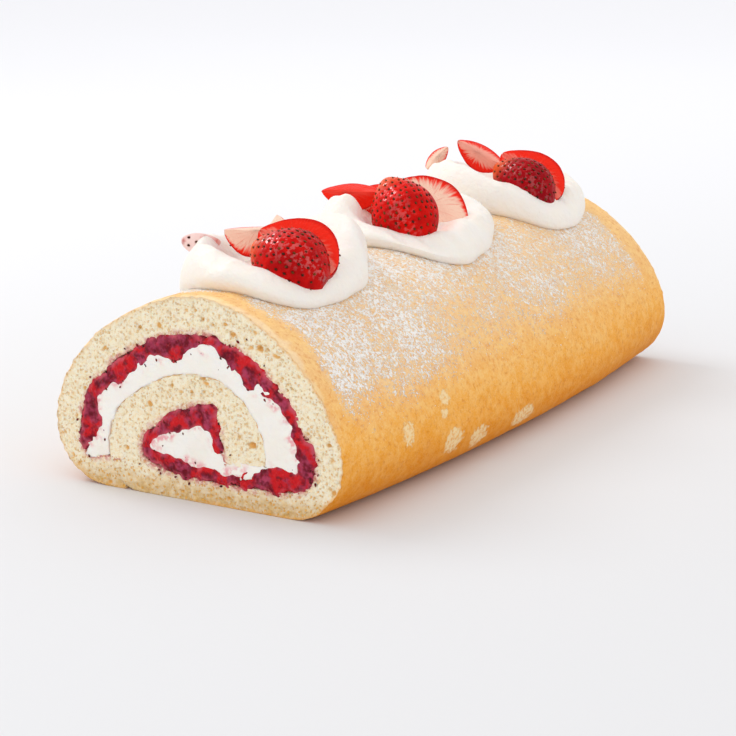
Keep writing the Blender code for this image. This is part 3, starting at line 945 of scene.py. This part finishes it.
def rolled_sheet(step):
    """The sheet's columns as sheet_columns gives them, with its end in the core rounded off."""
    run, middle, half, normals = sheet_columns(step)
    ahead = np.array([normals[-1][1], -normals[-1][0]])
    turn = np.linspace(0, 1.4, CORE_COLUMNS + 1)[1:]
    middle = np.vstack([middle, middle[-1] + ahead * CORE_BULGE * np.sin(turn)[:, None]])
    run = np.concatenate([run, run[-1] + CORE_BULGE * np.sin(turn)])
    half = np.concatenate([half, half[-1] * np.cos(turn)])
    normals = np.vstack([normals, np.repeat(normals[-1:], CORE_COLUMNS, axis=0)])
    return run, middle, half, normals


def along_roll(line, lengths):
    """A line in the cut face repeated at each of lengths along the roll, row by row."""
    x, y = np.meshgrid(line[:, 0], lengths)
    z, _ = np.meshgrid(line[:, 1], lengths)
    return np.stack([x, y, z], -1).reshape(-1, 3)


def sponge_skin(middle, half, normals, settings):
    """Points of the straight roll's skin, uneven and crumbling at both cuts."""
    ends = np.array(EDGE_ROWS)
    reach = HALF_LENGTH - EVEN_ROWS_START
    body = np.linspace(-reach, reach, settings.skin_rows)
    lengths = np.concatenate([ends - HALF_LENGTH, body, HALF_LENGTH - ends[::-1]])
    points = along_roll(middle + normals * half[:, None], lengths)
    from_cut = HALF_LENGTH - np.abs(points[:, 1])
    crumbly = (0.5 + 0.45 * noise(points, 1.6, 15)) * smoothstep(1.2, 0.0, from_cut)
    lift = (skin_relief(points, settings.relief) - crumbly) * smoothstep(0.0, 4.0, points[:, 2])
    spread = np.tile(normals, (len(lengths), 1))
    points[:, 0] += spread[:, 0] * lift
    points[:, 2] = np.maximum(0.0, points[:, 2] + spread[:, 1] * lift)
    return points


def cut_crumb(side, edge, run, half, normals, settings, seed):
    """Points of one cut behind the skin's edge, with each one's hole, depth in the sheet and stain."""
    rows = settings.crumb_rows
    depth = 2 * half * np.linspace(0.0, 1.0, rows + 1)[1:, None]
    width = np.repeat(2 * half[:, None], rows + 1, axis=1)
    big = punch_holes(run, width, settings.holes, sizes=(0.35, 0.75), depth=1.2, seed=seed)
    small = punch_holes(run, width, settings.fine_holes, sizes=(0.25, 0.42), depth=0.8, seed=seed + 50)
    hole = np.maximum(big, small)[:, 1:].T.reshape(-1)
    outwards = np.stack([normals[:, 0], 0 * half, normals[:, 1]], -1)
    flat = (edge - outwards * depth[:, :, None]).reshape(-1, 3)
    flat[:, 2] = np.maximum(flat[:, 2], 0.0)
    if side < 0:
        hole = np.maximum(hole, large_holes(flat))
    rough = 0.16 * noise(flat, 1.6, seed) + 0.12 * noise(flat, 0.8, seed + 1)
    rough += 0.3 * noise(flat, 9.0, seed + 2)
    flat[:, 1] = side * (HALF_LENGTH - (hole + rough + 0.15))
    stain = 0.85 * smoothstep(STAIN_REACH, 0.0, 2 * half - depth)
    return flat, hole, depth.ravel(), stain.ravel()


def make_sponge(settings, sugar):
    """One closed mesh: skin outside, porous crumb in both cuts, plain where the filling covers it."""
    run, middle, half, normals = rolled_sheet(settings.column_step)
    columns = len(run)
    skin = sponge_skin(middle, half, normals, settings)
    cuts = [
        cut_crumb(side, edge, run, half, normals, settings, seed)
        for side, edge, seed in ((-1, skin[:columns], 3), (1, skin[-columns:], 5))
    ]
    inner_lengths = np.linspace(-HALF_LENGTH, HALF_LENGTH, LINING_ROWS + 2)[1:-1]
    lining = along_roll(middle - normals * half[:, None], inner_lengths)
    lining[:, 2] = np.maximum(0.0, lining[:, 2])

    blocks = [skin, cuts[0][0], cuts[1][0], lining]
    vertices = warped(*np.vstack(blocks).T)
    rows = np.arange(len(vertices)).reshape(-1, columns)
    ends = np.cumsum([len(block) // columns for block in blocks])[:-1]
    skin_rows, front_rows, back_rows, lining_rows = np.split(rows, ends)
    front = np.vstack([skin_rows[:1], front_rows])
    back = np.vstack([skin_rows[-1:], back_rows])
    inner = np.vstack([front[-1:], lining_rows, back[-1:]])
    outside = grid_faces(skin_rows)
    crumb = grid_faces(front[::-1]) + grid_faces(back) + grid_faces(inner[::-1])
    for column in (0, columns - 1):
        loop = [skin_rows[:, column], back[1:, column], lining_rows[::-1, column], front[:0:-1, column]]
        crumb.append(np.concatenate(loop).tolist())
    slots = [0] * len(outside) + [1] * len(crumb)

    labels = ("hole", "depth", "stain", "sugar", "worn", "crusted")
    values = {label: np.zeros(len(vertices)) for label in labels}
    first, last = len(skin), len(vertices) - len(lining)
    for label, *found in zip(labels, *(cut[1:] for cut in cuts)):
        values[label][first:last] = np.concatenate(found)
    share = run / run[-1]
    dusted = np.tile(share < DUSTED_TURN, len(skin_rows))
    values["sugar"][:first] = np.clip(sugar_cover(vertices[:first], sugar), 0, 1) * dusted
    ragged_edge = HALF_LENGTH - np.abs(skin[:, 1])
    ragged_edge += 1.1 * noise(skin, 1.8, 17) + 1.3 * noise(skin, 6.0, 18)
    values["worn"][:first] = smoothstep(2.6, 0.4, ragged_edge) * smoothstep(20, 55, skin[:, 2])
    browned = (0.55 + 0.45 * smoothstep(0.3, 0.42, share)) * (1 - smoothstep(0.66, 0.7, share))
    values["crusted"] = np.tile(browned, len(rows))
    finishes = [skin_finish(settings, sugar), crumb_finish(settings)]
    made = new_piece("cake_sponge", vertices, outside + crumb, finishes, slots, values)
    point_outwards(made)
    return made


def run_through(name, outline, step, stand_out, finish, label, rule, seed):
    """A layer that runs through the roll: relief in both cuts, plain walls between them.

    stand_out gives how far the cuts stand proud, and rule the vertex value that label names.
    """
    points, triangles = filled_region(outline, step, seed)
    n, ring = len(points), len(outline)
    blocks = []
    # The two cuts take their unevenness from places far apart, so that they differ.
    for side in (-1, 1):
        place = np.column_stack([points[:, 0], np.full(n, side * 40.0), points[:, 1]])
        blocks.append(warped(points[:, 0], side * (HALF_LENGTH + stand_out(place)), points[:, 1]))
    walls = np.linspace(-HALF_LENGTH, HALF_LENGTH, LAYER_WALLS + 2)[1:-1]
    for y in walls:
        blocks.append(warped(outline[:, 0], np.full(ring, y), outline[:, 1]))
    starts = [0, *(2 * n + k * ring for k in range(len(walls))), n]
    index = np.array([[start + v % ring for v in range(ring + 1)] for start in starts])
    faces = [list(t) for t in triangles] + [[n + v for v in reversed(t)] for t in triangles]
    faces += grid_faces(index)
    found = rule(points)
    values = {label: np.concatenate([found, found, np.tile(found[:ring], len(walls))])}
    made = new_piece(name, np.vstack(blocks), faces, [finish], None, values)
    point_outwards(made)
    return made


def make_jam(settings):
    """Lumpy jam that stands a little proud of both cuts."""
    jam, _ = filling_outlines()
    outline = ragged(jam, step=0.45, amount=1.15, cell=3.8, seed=31)

    def stand_out(place):
        crown = smoothstep(0.0, 1.6, nearest_distance(place[:, [0, 2]], outline))
        lumps = 0.55 + 0.45 * noise(place, 2.6, 33) + 0.25 * noise(place, 1.2, 34)
        return settings.jam_bulge * crown * np.clip(lumps, 0.05, 1.4) - 0.1

    def rim(points):
        return 0.9 * smoothstep(1.8, 0.2, nearest_distance(points, outline))

    finish = jam_finish(settings)
    return run_through("jam_layer", outline, settings.jam_step, stand_out, finish, "rim", rim, 35)


def make_filling_cream(settings):
    """Cream between the turns, with a soft knife-drawn face."""
    jam, cream = filling_outlines()
    outline = ragged(cream, step=0.6, amount=0.5, cell=2.6, seed=41)

    def stand_out(place):
        near = nearest_distance(place[:, [0, 2]], outline)
        soft = 0.25 * noise(place, 5.0, 43) + 0.12 * noise(place, 1.8, 44)
        return 0.15 * smoothstep(0.0, 2.0, near) + soft

    def stain(points):
        near = nearest_distance(points, jam)
        return 0.9 * smoothstep(STAIN_REACH, 0.0, near) + 0.1 * inside(points, jam)

    finish = cream_finish("filling_cream", settings.cream, settings.stain)
    step = settings.cream_step
    return run_through("filling_layer", outline, step, stand_out, finish, "stain", stain, 45)


# --- the dollops --------------------------------------------------------------------------------
def dollop_top(name, out, turn, settings):
    """Place and height over the roof of a dollop's top at out (0 middle, 1 rim) and turn (0 to 1)."""
    middle, reaches, rims, depth, peaks = DOLLOPS[name]
    angle = turn * math.tau
    wave = 1 + 0.012 * np.sin(5 * angle + middle[1]) + 0.008 * np.sin(9 * angle + 2 * middle[1])
    reach = cyclic(reaches, turn) * out * wave
    x = middle[0] + reach * np.cos(angle)
    y = middle[1] + reach * np.sin(angle)
    rim = depth + (cyclic(rims, turn) - depth) * smoothstep(HOLLOW_START, HOLLOW_END, out)
    crown = np.sqrt(np.clip(1 - out**9, 0.0, 1.0))
    flat = np.stack([x, y, 0 * x], -1).reshape(-1, 3)
    seed = 60 + int(middle[1])
    folds = noise(flat * (1.0, 0.6, 1.0), 9.0, seed) + 0.5 * noise(flat * (0.5, 1.0, 1.0), 3.6, seed + 1)
    spiral = np.sin(3 * angle + 5.5 * out + 2.0 * noise(flat, 18.0, seed + 2).reshape(out.shape))
    lift = settings.fold * (0.9 * folds.reshape(out.shape) + 0.55 * spiral * smoothstep(0.25, 0.7, out))
    creases = 1 - 2 * np.abs(noise(flat * (0.8, 1.0, 1.0), 7.0, seed + 3)).reshape(out.shape)
    lift = lift + settings.fold * 0.42 * creases * smoothstep(0.3, 0.6, out)
    for px, py, tall, wide in peaks:
        lift = lift + tall * np.exp(-((x - px) ** 2 + (y - py) ** 2) / wide**2)
    return x, y, LIP_HEIGHT + (rim + lift - LIP_HEIGHT * 0.5) * crown


def make_dollop(name, settings, finish):
    """Spooned cream: rounded rim round a hollow, with an overhanging lip that sits on the skin."""
    turn = np.arange(settings.sectors) / settings.sectors
    share = np.linspace(0.0, 1.0, settings.rings + 1)[1:]
    out = 1 - (1 - share) ** 1.7
    x, y, tall = dollop_top(name, *np.meshgrid(out, turn, indexing="ij"), settings)
    tuck = np.linspace(0.0, 1.0, 7)[1:]
    middle = np.array(DOLLOPS[name][0])
    rim_x, rim_y = x[-1] - middle[0], y[-1] - middle[1]
    inwards = 1 - LIP_TUCK * (1 - np.cos(tuck * math.pi / 2))
    low = LIP_HEIGHT * (1 - np.sin(tuck * math.pi / 2)) - SEAT_DEPTH * tuck
    x = np.vstack([x, middle[0] + rim_x * inwards[:, None]])
    y = np.vstack([y, middle[1] + rim_y * inwards[:, None]])
    tall = np.vstack([tall, np.repeat(low[:, None], len(turn), axis=1)])
    bow, _ = bow_at(y)
    z = roof_height(x - bow) + tall
    count = x.size
    vertices = np.stack([x, y, z], -1).reshape(-1, 3)
    crown = (middle[0], middle[1], z[0].mean())
    foot = (middle[0], middle[1], roof_height(middle[0]) - SEAT_DEPTH)
    vertices = np.vstack([vertices, [crown, foot]])
    index = np.arange(count).reshape(x.shape)
    closed = np.column_stack([index, index[:, :1]])
    faces = grid_faces(closed)
    faces += [[count, int(b), int(a)] for a, b in zip(closed[0, :-1], closed[0, 1:])]
    faces += [[count + 1, int(a), int(b)] for a, b in zip(closed[-1, :-1], closed[-1, 1:])]
    piece = new_piece("topping_" + name, vertices, faces, [finish], None, {"stain": np.zeros(count + 2)})
    point_outwards(piece)
    return piece


# --- the strawberries ---------------------------------------------------------------------------
def berry_radius(along):
    """A strawberry's radius, as a share of its widest, from its tip (0) to its hulled end (1)."""
    return np.sin(math.pi * np.clip(along, 0.0, 1.0) ** TIP_TAPER) ** BLUNTNESS


def flesh_angle(radius, width, flesh):
    """Angle of flesh left round the axis where the berry has this radius, for one flat cut or a wedge."""
    if flesh < 180:
        return np.full(np.shape(radius), float(flesh))
    cut_height = width / 2 * math.sin(math.radians((flesh - 180) / 2))
    return 180 + 2 * np.degrees(np.arcsin(np.clip(cut_height / np.maximum(radius, 0.01), 0.0, 0.99)))


def seed_places(length, width, flesh, spacing, seed):
    """Along and turn (degrees) of the seeds on a piece's skin, in staggered rows."""
    draw = np.random.default_rng(seed)
    places = []
    rows = int(length / (spacing * SEED_ROW_SHARE))
    for row in range(1, rows):
        along = row / rows
        radius = float(berry_radius(np.array(along))) * width / 2
        left = float(flesh_angle(radius, width, flesh)) - BARE_ANGLE
        count = int(math.tau * radius * left / 360 / spacing)
        for k in range(count):
            turn = (k + 0.5 + 0.5 * (row % 2 - 0.5)) / count * left - left / 2
            shift, swing = (draw.normal(0, scatter) for scatter in SEED_SCATTER)
            places.append((along + shift, -90 + turn + swing))
    return np.array(places).reshape(-1, 2)


def on_berry(along, turn, radius, length):
    """Points round a berry's axis, which runs along X with the tip at +X; turn is in radians."""
    x = (0.5 - along) * length + 0 * turn
    return np.stack([x, radius * np.cos(turn), radius * np.sin(turn)], -1)


def cut_sides(skin, along, length, flesh):
    """Points of the cut, ring by ring, and their share of the way out from the axis.

    A half or more has one flat cut; a wedge is cut in to its axis and out again.
    """
    first, last = skin[:, :1], skin[:, -1:]
    if flesh >= 180:
        share = np.linspace(0.0, 1.0, 2 * CUT_STEPS + 1)[1:-1]
        return last + (first - last) * share[:, None], np.abs(1 - 2 * share)
    share = np.linspace(0.0, 1.0, CUT_STEPS + 1)[1:]
    axis = np.stack([(0.5 - along) * length, 0 * along, 0 * along], -1)[:, None]
    inwards = last + (axis - last) * share[:, None]
    outwards = axis + (first - axis) * share[:-1, None]
    return np.concatenate([inwards, outwards], axis=1), np.concatenate([1 - share, share[:-1]])


def make_strawberry(name, form, seed, settings, finishes):
    """One cut strawberry piece with dimpled skin and its cut sides.

    Returns it with its seeds' places and normals and the way that they point.
    """
    place, tip, cut, length, width, flesh = form
    eased = np.sin(np.linspace(0.02, 1.0, settings.rings) ** 0.9 * math.pi / 2) ** 1.25
    along = np.linspace(0.004, 0.996, settings.rings) * 0.5 + eased * 0.498
    radius = berry_radius(along) * width / 2
    steps = HALF_STEPS if flesh >= 180 else WEDGE_STEPS
    spread = flesh_angle(radius, width, flesh)
    turn = np.radians(-90 + spread[:, None] * np.linspace(-0.5, 0.5, steps + 1))
    skin = on_berry(along[:, None], turn, radius[:, None], length)
    seeds = seed_places(length, width, flesh, settings.seed_spacing, seed)
    seed_turn = np.radians(seeds[:, 1])
    seed_at = on_berry(seeds[:, 0], seed_turn, berry_radius(seeds[:, 0]) * width / 2, length)
    near = nearest_distance(skin.reshape(-1, 3), seed_at).reshape(turn.shape)
    dimple = np.exp(-((near / DIMPLE_RADIUS) ** 2))
    lump = 0.35 * noise(skin.reshape(-1, 3) + seed * 31.0, 7.0, seed).reshape(turn.shape)
    lift = (lump - settings.dimple * dimple) * smoothstep(0, 0.08, along)[:, None]
    outward = np.stack([0 * turn, np.cos(turn), np.sin(turn)], -1)
    skin = skin + outward * lift[..., None]

    flat, out = cut_sides(skin, along, length, flesh)
    ragged_cut = 0.18 * noise(flat.reshape(-1, 3) + seed * 17.0, 3.0, seed + 3).reshape(flat.shape[:2])
    groove = 0.7 * np.exp(-((out / 0.16) ** 2)) * smoothstep(0.1, 0.4, along)[:, None]
    flat[:, :, 2] += (ragged_cut - groove) * (1 - out**8) * smoothstep(0, 0.1, along)[:, None]
    rings = np.concatenate([skin, flat], axis=1)
    count, around = rings.shape[:2]
    index = np.arange(count * around).reshape(count, around)
    faces = grid_faces(np.column_stack([index, index[:, :1]]))
    faces += [index[0, ::-1].tolist(), index[-1].tolist()]
    slots = np.tile(np.where(np.arange(around) < steps, 0, 1), count - 1).tolist() + [0, 0]

    forward = Vector(tip).normalized()
    across = Vector(cut).cross(forward).normalized()
    turned = np.array(Matrix((forward, across, forward.cross(across))))
    wet = smoothstep(0.7, 0.94, outward @ turned @ np.array(WET_SIDE))
    outs = np.hstack([np.ones(turn.shape), np.tile(out, (count, 1))])
    none = np.zeros((count, len(out)))
    values = {
        "along": np.repeat(along, around),
        "out": outs.ravel(),
        "fan": np.arctan2(outs * radius[:, None], (0.55 - along)[:, None] * length).ravel(),
        "dimple": np.hstack([dimple, none]).ravel(),
        "wet": np.hstack([wet, none]).ravel(),
        "pale": np.full(count * around, PALE_FLESH.get(name, USUAL_PALENESS)),
        "unripe": np.full(count * around, PALE_SKIN.get(name, 0.0)),
        "dark": np.full(count * around, DARK_SKIN.get(name, 0.0)),
    }
    vertices = rings.reshape(-1, 3) @ turned + place
    piece = new_piece("cut_" + name, vertices, faces, finishes, slots, values)
    point_outwards(piece)

    normal = np.stack([0 * seed_turn, np.cos(seed_turn), np.sin(seed_turn)], -1)
    sunk = seed_at - normal * settings.dimple * SEED_SINK
    return piece, sunk @ turned + place, normal @ turned, np.array(forward)


def make_drops(name, places, normals, aheads, lengths, finish):
    """Small pointed drops lying on a surface, as one joined mesh."""
    steps, sides = 5, 8
    share = np.linspace(0.02, 0.98, steps)
    girth = np.sin(math.pi * share**0.8)
    turn = np.arange(sides) / sides * math.tau
    shape = np.stack([
        np.repeat(0.5 - share, sides),
        np.outer(girth, np.cos(turn)).ravel() * DROP_HALVES[0],
        np.outer(girth, np.sin(turn)).ravel() * DROP_HALVES[1],
    ], -1)
    index = np.arange(steps * sides).reshape(steps, sides)
    closed = np.column_stack([index, index[:, :1]])
    base = grid_faces(closed) + [index[0, ::-1].tolist(), index[-1].tolist()]
    aheads = aheads - normals * (aheads * normals).sum(axis=1, keepdims=True)
    aheads /= np.linalg.norm(aheads, axis=1, keepdims=True)
    basis = np.stack([aheads, np.cross(normals, aheads), normals], axis=1)
    vertices = (lengths[:, None, None] * shape) @ basis + places[:, None]
    faces = [[v + k * len(shape) for v in face] for k in range(len(places)) for face in base]
    piece = new_piece(name, vertices.reshape(-1, 3), faces, [finish])
    point_outwards(piece)
    return piece


def make_seeds(groups, settings, finish):
    """All the strawberries' seeds."""
    places, normals = (np.vstack([group[k] for group in groups]) for k in (0, 1))
    aheads = np.vstack([np.tile(group[2], (len(group[0]), 1)) for group in groups])
    lengths = np.full(len(places), settings.seed_length)
    return make_drops("strawberry_seeds", places + normals * 0.12, normals, aheads, lengths, finish)


def make_pips(settings, finish):
    """Dark pips and specks of fruit along the jam's edge in both cuts."""
    draw = np.random.default_rng(91)
    jam, _ = filling_outlines()
    _, ring = even_steps(jam, 0.5)
    count = settings.pips * 2
    at = ring[draw.integers(0, len(ring), count)] + draw.normal(0, PIP_SCATTER, (count, 2))
    side = np.repeat([-1.0, 1.0], settings.pips)
    places = warped(at[:, 0], side * (HALF_LENGTH + 0.1), np.maximum(at[:, 1], 1.0))
    normals = np.stack([0 * side, side, 0 * side], -1)
    spin = draw.uniform(0, math.tau, count)
    aheads = np.stack([np.cos(spin), 0 * spin, np.sin(spin)], -1)
    return make_drops("jam_pips", places, normals, aheads, draw.uniform(*PIP_LENGTHS, count), finish)


# --- icing sugar --------------------------------------------------------------------------------
def under_dollop(x, y):
    """Which places in plan lie under a dollop."""
    covered = np.zeros(len(x), bool)
    for middle, reaches, *_ in DOLLOPS.values():
        dx, dy = x - middle[0], y - middle[1]
        reach = cyclic(reaches, np.arctan2(dy, dx) / math.tau)
        covered |= np.hypot(dx, dy) < reach * 0.98
    return covered


def make_sugar(settings, sponge, finish):
    """Loose clumps of icing sugar on the skin, as one joined mesh of small uneven grains."""
    draw = np.random.default_rng(77)
    run, middle, half, normals = sheet_columns(SHEET_STEP)
    upper = np.nonzero(run < 0.6 * run[-1])[0]
    tries = settings.grains * TRIES_PER_GRAIN
    column = upper[draw.integers(0, len(upper), tries)]
    y = draw.uniform(-HALF_LENGTH, HALF_LENGTH, tries)
    skin = middle[column] + normals[column] * half[column][:, None]
    outward = np.stack([normals[column][:, 0], 0 * y, normals[column][:, 1]], -1)
    points = np.stack([skin[:, 0], y, skin[:, 1]], -1)
    points += outward * skin_relief(points, sponge.relief)[:, None]
    placed = warped(*points.T)
    cover = np.clip(sugar_cover(placed, settings), 0, 1)
    keep = (draw.uniform(0, 1, tries) < cover**1.5) & ~under_dollop(placed[:, 0], placed[:, 1])
    clumps = noise(placed, 1.4, 78) + 0.6 * noise(placed, 3.5, 79) > -0.25
    chosen = np.nonzero(keep & clumps)[0][: settings.grains]
    n = len(chosen)
    place, up = placed[chosen], outward[chosen]
    along = np.array([0.0, 1.0, 0.0])
    side = np.cross(up, along)
    size = draw.uniform(*GRAIN_REACHES, n) * draw.uniform(0.7, 1.3, n)
    spin = draw.uniform(0, math.tau, n)
    corners = []
    for k in range(3):
        angle = spin + k * math.tau / 3
        reach = size * draw.uniform(0.7, 1.2, n)
        way = side * np.cos(angle)[:, None] + along * np.sin(angle)[:, None]
        corners.append(place + way * reach[:, None] - up * 0.05)
    tops = place + up * (size * 0.7)[:, None]
    vertices = np.stack([*corners, tops], axis=1).reshape(-1, 3)
    base = np.arange(n)[:, None] * 4
    faces = np.concatenate([base + f for f in ([0, 1, 2], [0, 1, 3], [1, 2, 3], [2, 0, 3])]).tolist()
    piece = new_piece("icing_sugar", vertices, faces, [finish])
    point_outwards(piece)
    return piece


# --- operators ----------------------------------------------------------------------------------
class CAKE_OT_sponge(bpy.types.Operator):
    """Make the rolled sponge with its golden skin and porous cuts"""

    bl_idname = "cake.sponge"
    bl_label = "Sponge"

    def execute(self, context):
        scene = context.scene
        finish_piece(make_sponge(scene.cake_sponge, scene.cake_sugar), "sponge")
        return {"FINISHED"}


class CAKE_OT_jam(bpy.types.Operator):
    """Make the lumpy jam layer"""

    bl_idname = "cake.jam"
    bl_label = "Jam"

    def execute(self, context):
        settings = context.scene.cake_filling
        finish_piece(make_jam(settings), "berry_jam")
        pips = make_pips(settings, pip_finish())
        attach(pips, ROOT)
        return {"FINISHED"}


class CAKE_OT_filling(bpy.types.Operator):
    """Make the cream between the turns"""

    bl_idname = "cake.filling"
    bl_label = "Cream Filling"

    def execute(self, context):
        finish_piece(make_filling_cream(context.scene.cake_filling), "cream_filling")
        return {"FINISHED"}


class CAKE_OT_dollops(bpy.types.Operator):
    """Make the spooned dollops of cream"""

    bl_idname = "cake.dollops"
    bl_label = "Dollops"

    def execute(self, context):
        settings = context.scene.cake_dollops
        finish = cream_finish("topping_cream", settings.cream, context.scene.cake_filling.stain)
        for name in DOLLOPS:
            finish_piece(make_dollop(name, settings, finish), name)
        return {"FINISHED"}


class CAKE_OT_strawberries(bpy.types.Operator):
    """Make the cut strawberries and their seeds"""

    bl_idname = "cake.strawberries"
    bl_label = "Strawberries"

    def execute(self, context):
        settings = context.scene.cake_strawberries
        finishes = [berry_skin_finish(settings), berry_flesh_finish(settings)]
        groups = []
        pieces = [*STRAWBERRIES.items(), *SLID_HALVES.items()]
        for seed, (name, form) in enumerate(pieces, start=101):
            piece, *seeds = make_strawberry(name, form, seed, settings, finishes)
            finish_piece(piece, name)
            groups.append(seeds)
        seeds = make_seeds(groups, settings, seed_finish(settings))
        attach(seeds, ROOT)
        return {"FINISHED"}


class CAKE_OT_sugar(bpy.types.Operator):
    """Dust the roll with icing sugar"""

    bl_idname = "cake.sugar"
    bl_label = "Icing Sugar"

    def execute(self, context):
        scene = context.scene
        piece = make_sugar(scene.cake_sugar, scene.cake_sponge, sugar_finish(scene.cake_sugar))
        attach(piece, ROOT)
        return {"FINISHED"}


class CAKE_OT_stage(bpy.types.Operator):
    """Set up the floor, the lights and the camera"""

    bl_idname = "cake.stage"
    bl_label = "Stage"

    def execute(self, context):
        scene = context.scene
        settings = scene.cake_stage
        make_floor(settings)
        make_lights(settings)
        place_camera(settings)
        scene.view_settings.view_transform = "Standard"
        return {"FINISHED"}


def make_floor(settings):
    """A pale floor that reaches past the view, with painted shade that darkens it towards the front."""
    corners = np.array([(-1, -1, 0), (1, -1, 0), (1, 1, 0), (-1, 1, 0)]) * FLOOR_REACH
    finish, tree, shader = new_finish("floor", Roughness=0.75, Specular_IOR_Level=0.2)
    away = add_node(tree, "ShaderNodeSeparateXYZ", {0: place_in_mm(tree)}).outputs[1]
    # Painted shade: the floor darkens towards the front and lightens further back.
    tone = between(tree, away, -100.0, 1300.0)
    set_surface(tree, shader, blend(tree, tone, settings.floor, srgb(246, 246, 250)))
    floor = new_piece("floor", corners - (0, 0, FLOOR_DROP), [[0, 1, 2, 3]], [finish])


def make_lights(settings):
    """Even light from the sky and a large soft light high on the roll's left."""
    world = bpy.data.worlds.new("sky")
    world.use_nodes = True
    background = world.node_tree.nodes["Background"]
    background.inputs["Color"].default_value = (1.0, 1.0, 1.0, 1.0)
    background.inputs["Strength"].default_value = settings.sky
    bpy.context.scene.world = world
    light = bpy.data.lights.new("window", "AREA")
    light.shape = "DISK"
    light.size = LIGHT_WIDTH * MM
    light.energy = settings.key
    lamp = bpy.data.objects.new("window", light)
    lamp.location = Vector(LIGHT_PLACE) * MM
    aim = Vector(LIGHT_TARGET) * MM - lamp.location
    lamp.rotation_euler = aim.to_track_quat("-Z", "Y").to_euler()
    bpy.context.scene.collection.objects.link(lamp)


def place_camera(settings):
    """The camera, looking along its turn and lift."""
    camera = bpy.data.cameras.new("camera")
    camera.lens = settings.lens
    camera.sensor_width = 36.0
    camera.clip_end = 50.0
    back = Vector((
        math.sin(settings.turn) * math.cos(settings.lift),
        -math.cos(settings.turn) * math.cos(settings.lift),
        math.sin(settings.lift),
    ))
    made = bpy.data.objects.new("camera", camera)
    made.location = settings.camera
    made.rotation_euler = (-back).to_track_quat("-Z", "Y").to_euler()
    bpy.context.scene.collection.objects.link(made)
    bpy.context.scene.camera = made


# --- panel and registration ---------------------------------------------------------------------
SETTINGS = {
    "cake_sponge": SpongeSettings,
    "cake_filling": FillingSettings,
    "cake_dollops": DollopSettings,
    "cake_strawberries": StrawberrySettings,
    "cake_sugar": SugarSettings,
    "cake_stage": StageSettings,
}
OPERATORS = (
    CAKE_OT_sponge,
    CAKE_OT_jam,
    CAKE_OT_filling,
    CAKE_OT_dollops,
    CAKE_OT_strawberries,
    CAKE_OT_sugar,
    CAKE_OT_stage,
)


class CAKE_PT_panel(bpy.types.Panel):
    """Settings and operators of the swiss roll"""

    bl_idname = "CAKE_PT_panel"
    bl_label = "Swiss Roll Cake"
    bl_space_type = "VIEW_3D"
    bl_region_type = "UI"
    bl_category = "Cake"

    def draw(self, context):
        layout = self.layout
        for operator in OPERATORS:
            layout.operator(operator.bl_idname)
        for label, group in SETTINGS.items():
            box = layout.box()
            box.label(text=label.split("_")[1].capitalize())
            for key in group.__annotations__:
                box.prop(getattr(context.scene, label), key)


def register():
    for group in (*SETTINGS.values(), *OPERATORS, CAKE_PT_panel):
        bpy.utils.register_class(group)
    for label, group in SETTINGS.items():
        setattr(bpy.types.Scene, label, PointerProperty(type=group))


def unregister():
    for label in SETTINGS:
        delattr(bpy.types.Scene, label)
    for group in (CAKE_PT_panel, *reversed(OPERATORS), *reversed(list(SETTINGS.values()))):
        bpy.utils.unregister_class(group)


def main():
    register()
    bpy.ops.cake.sponge()
    bpy.ops.cake.jam()
    bpy.ops.cake.filling()
    bpy.ops.cake.dollops()
    bpy.ops.cake.strawberries()
    bpy.ops.cake.sugar()
    bpy.ops.cake.stage()


if __name__ == "__main__":
    main()
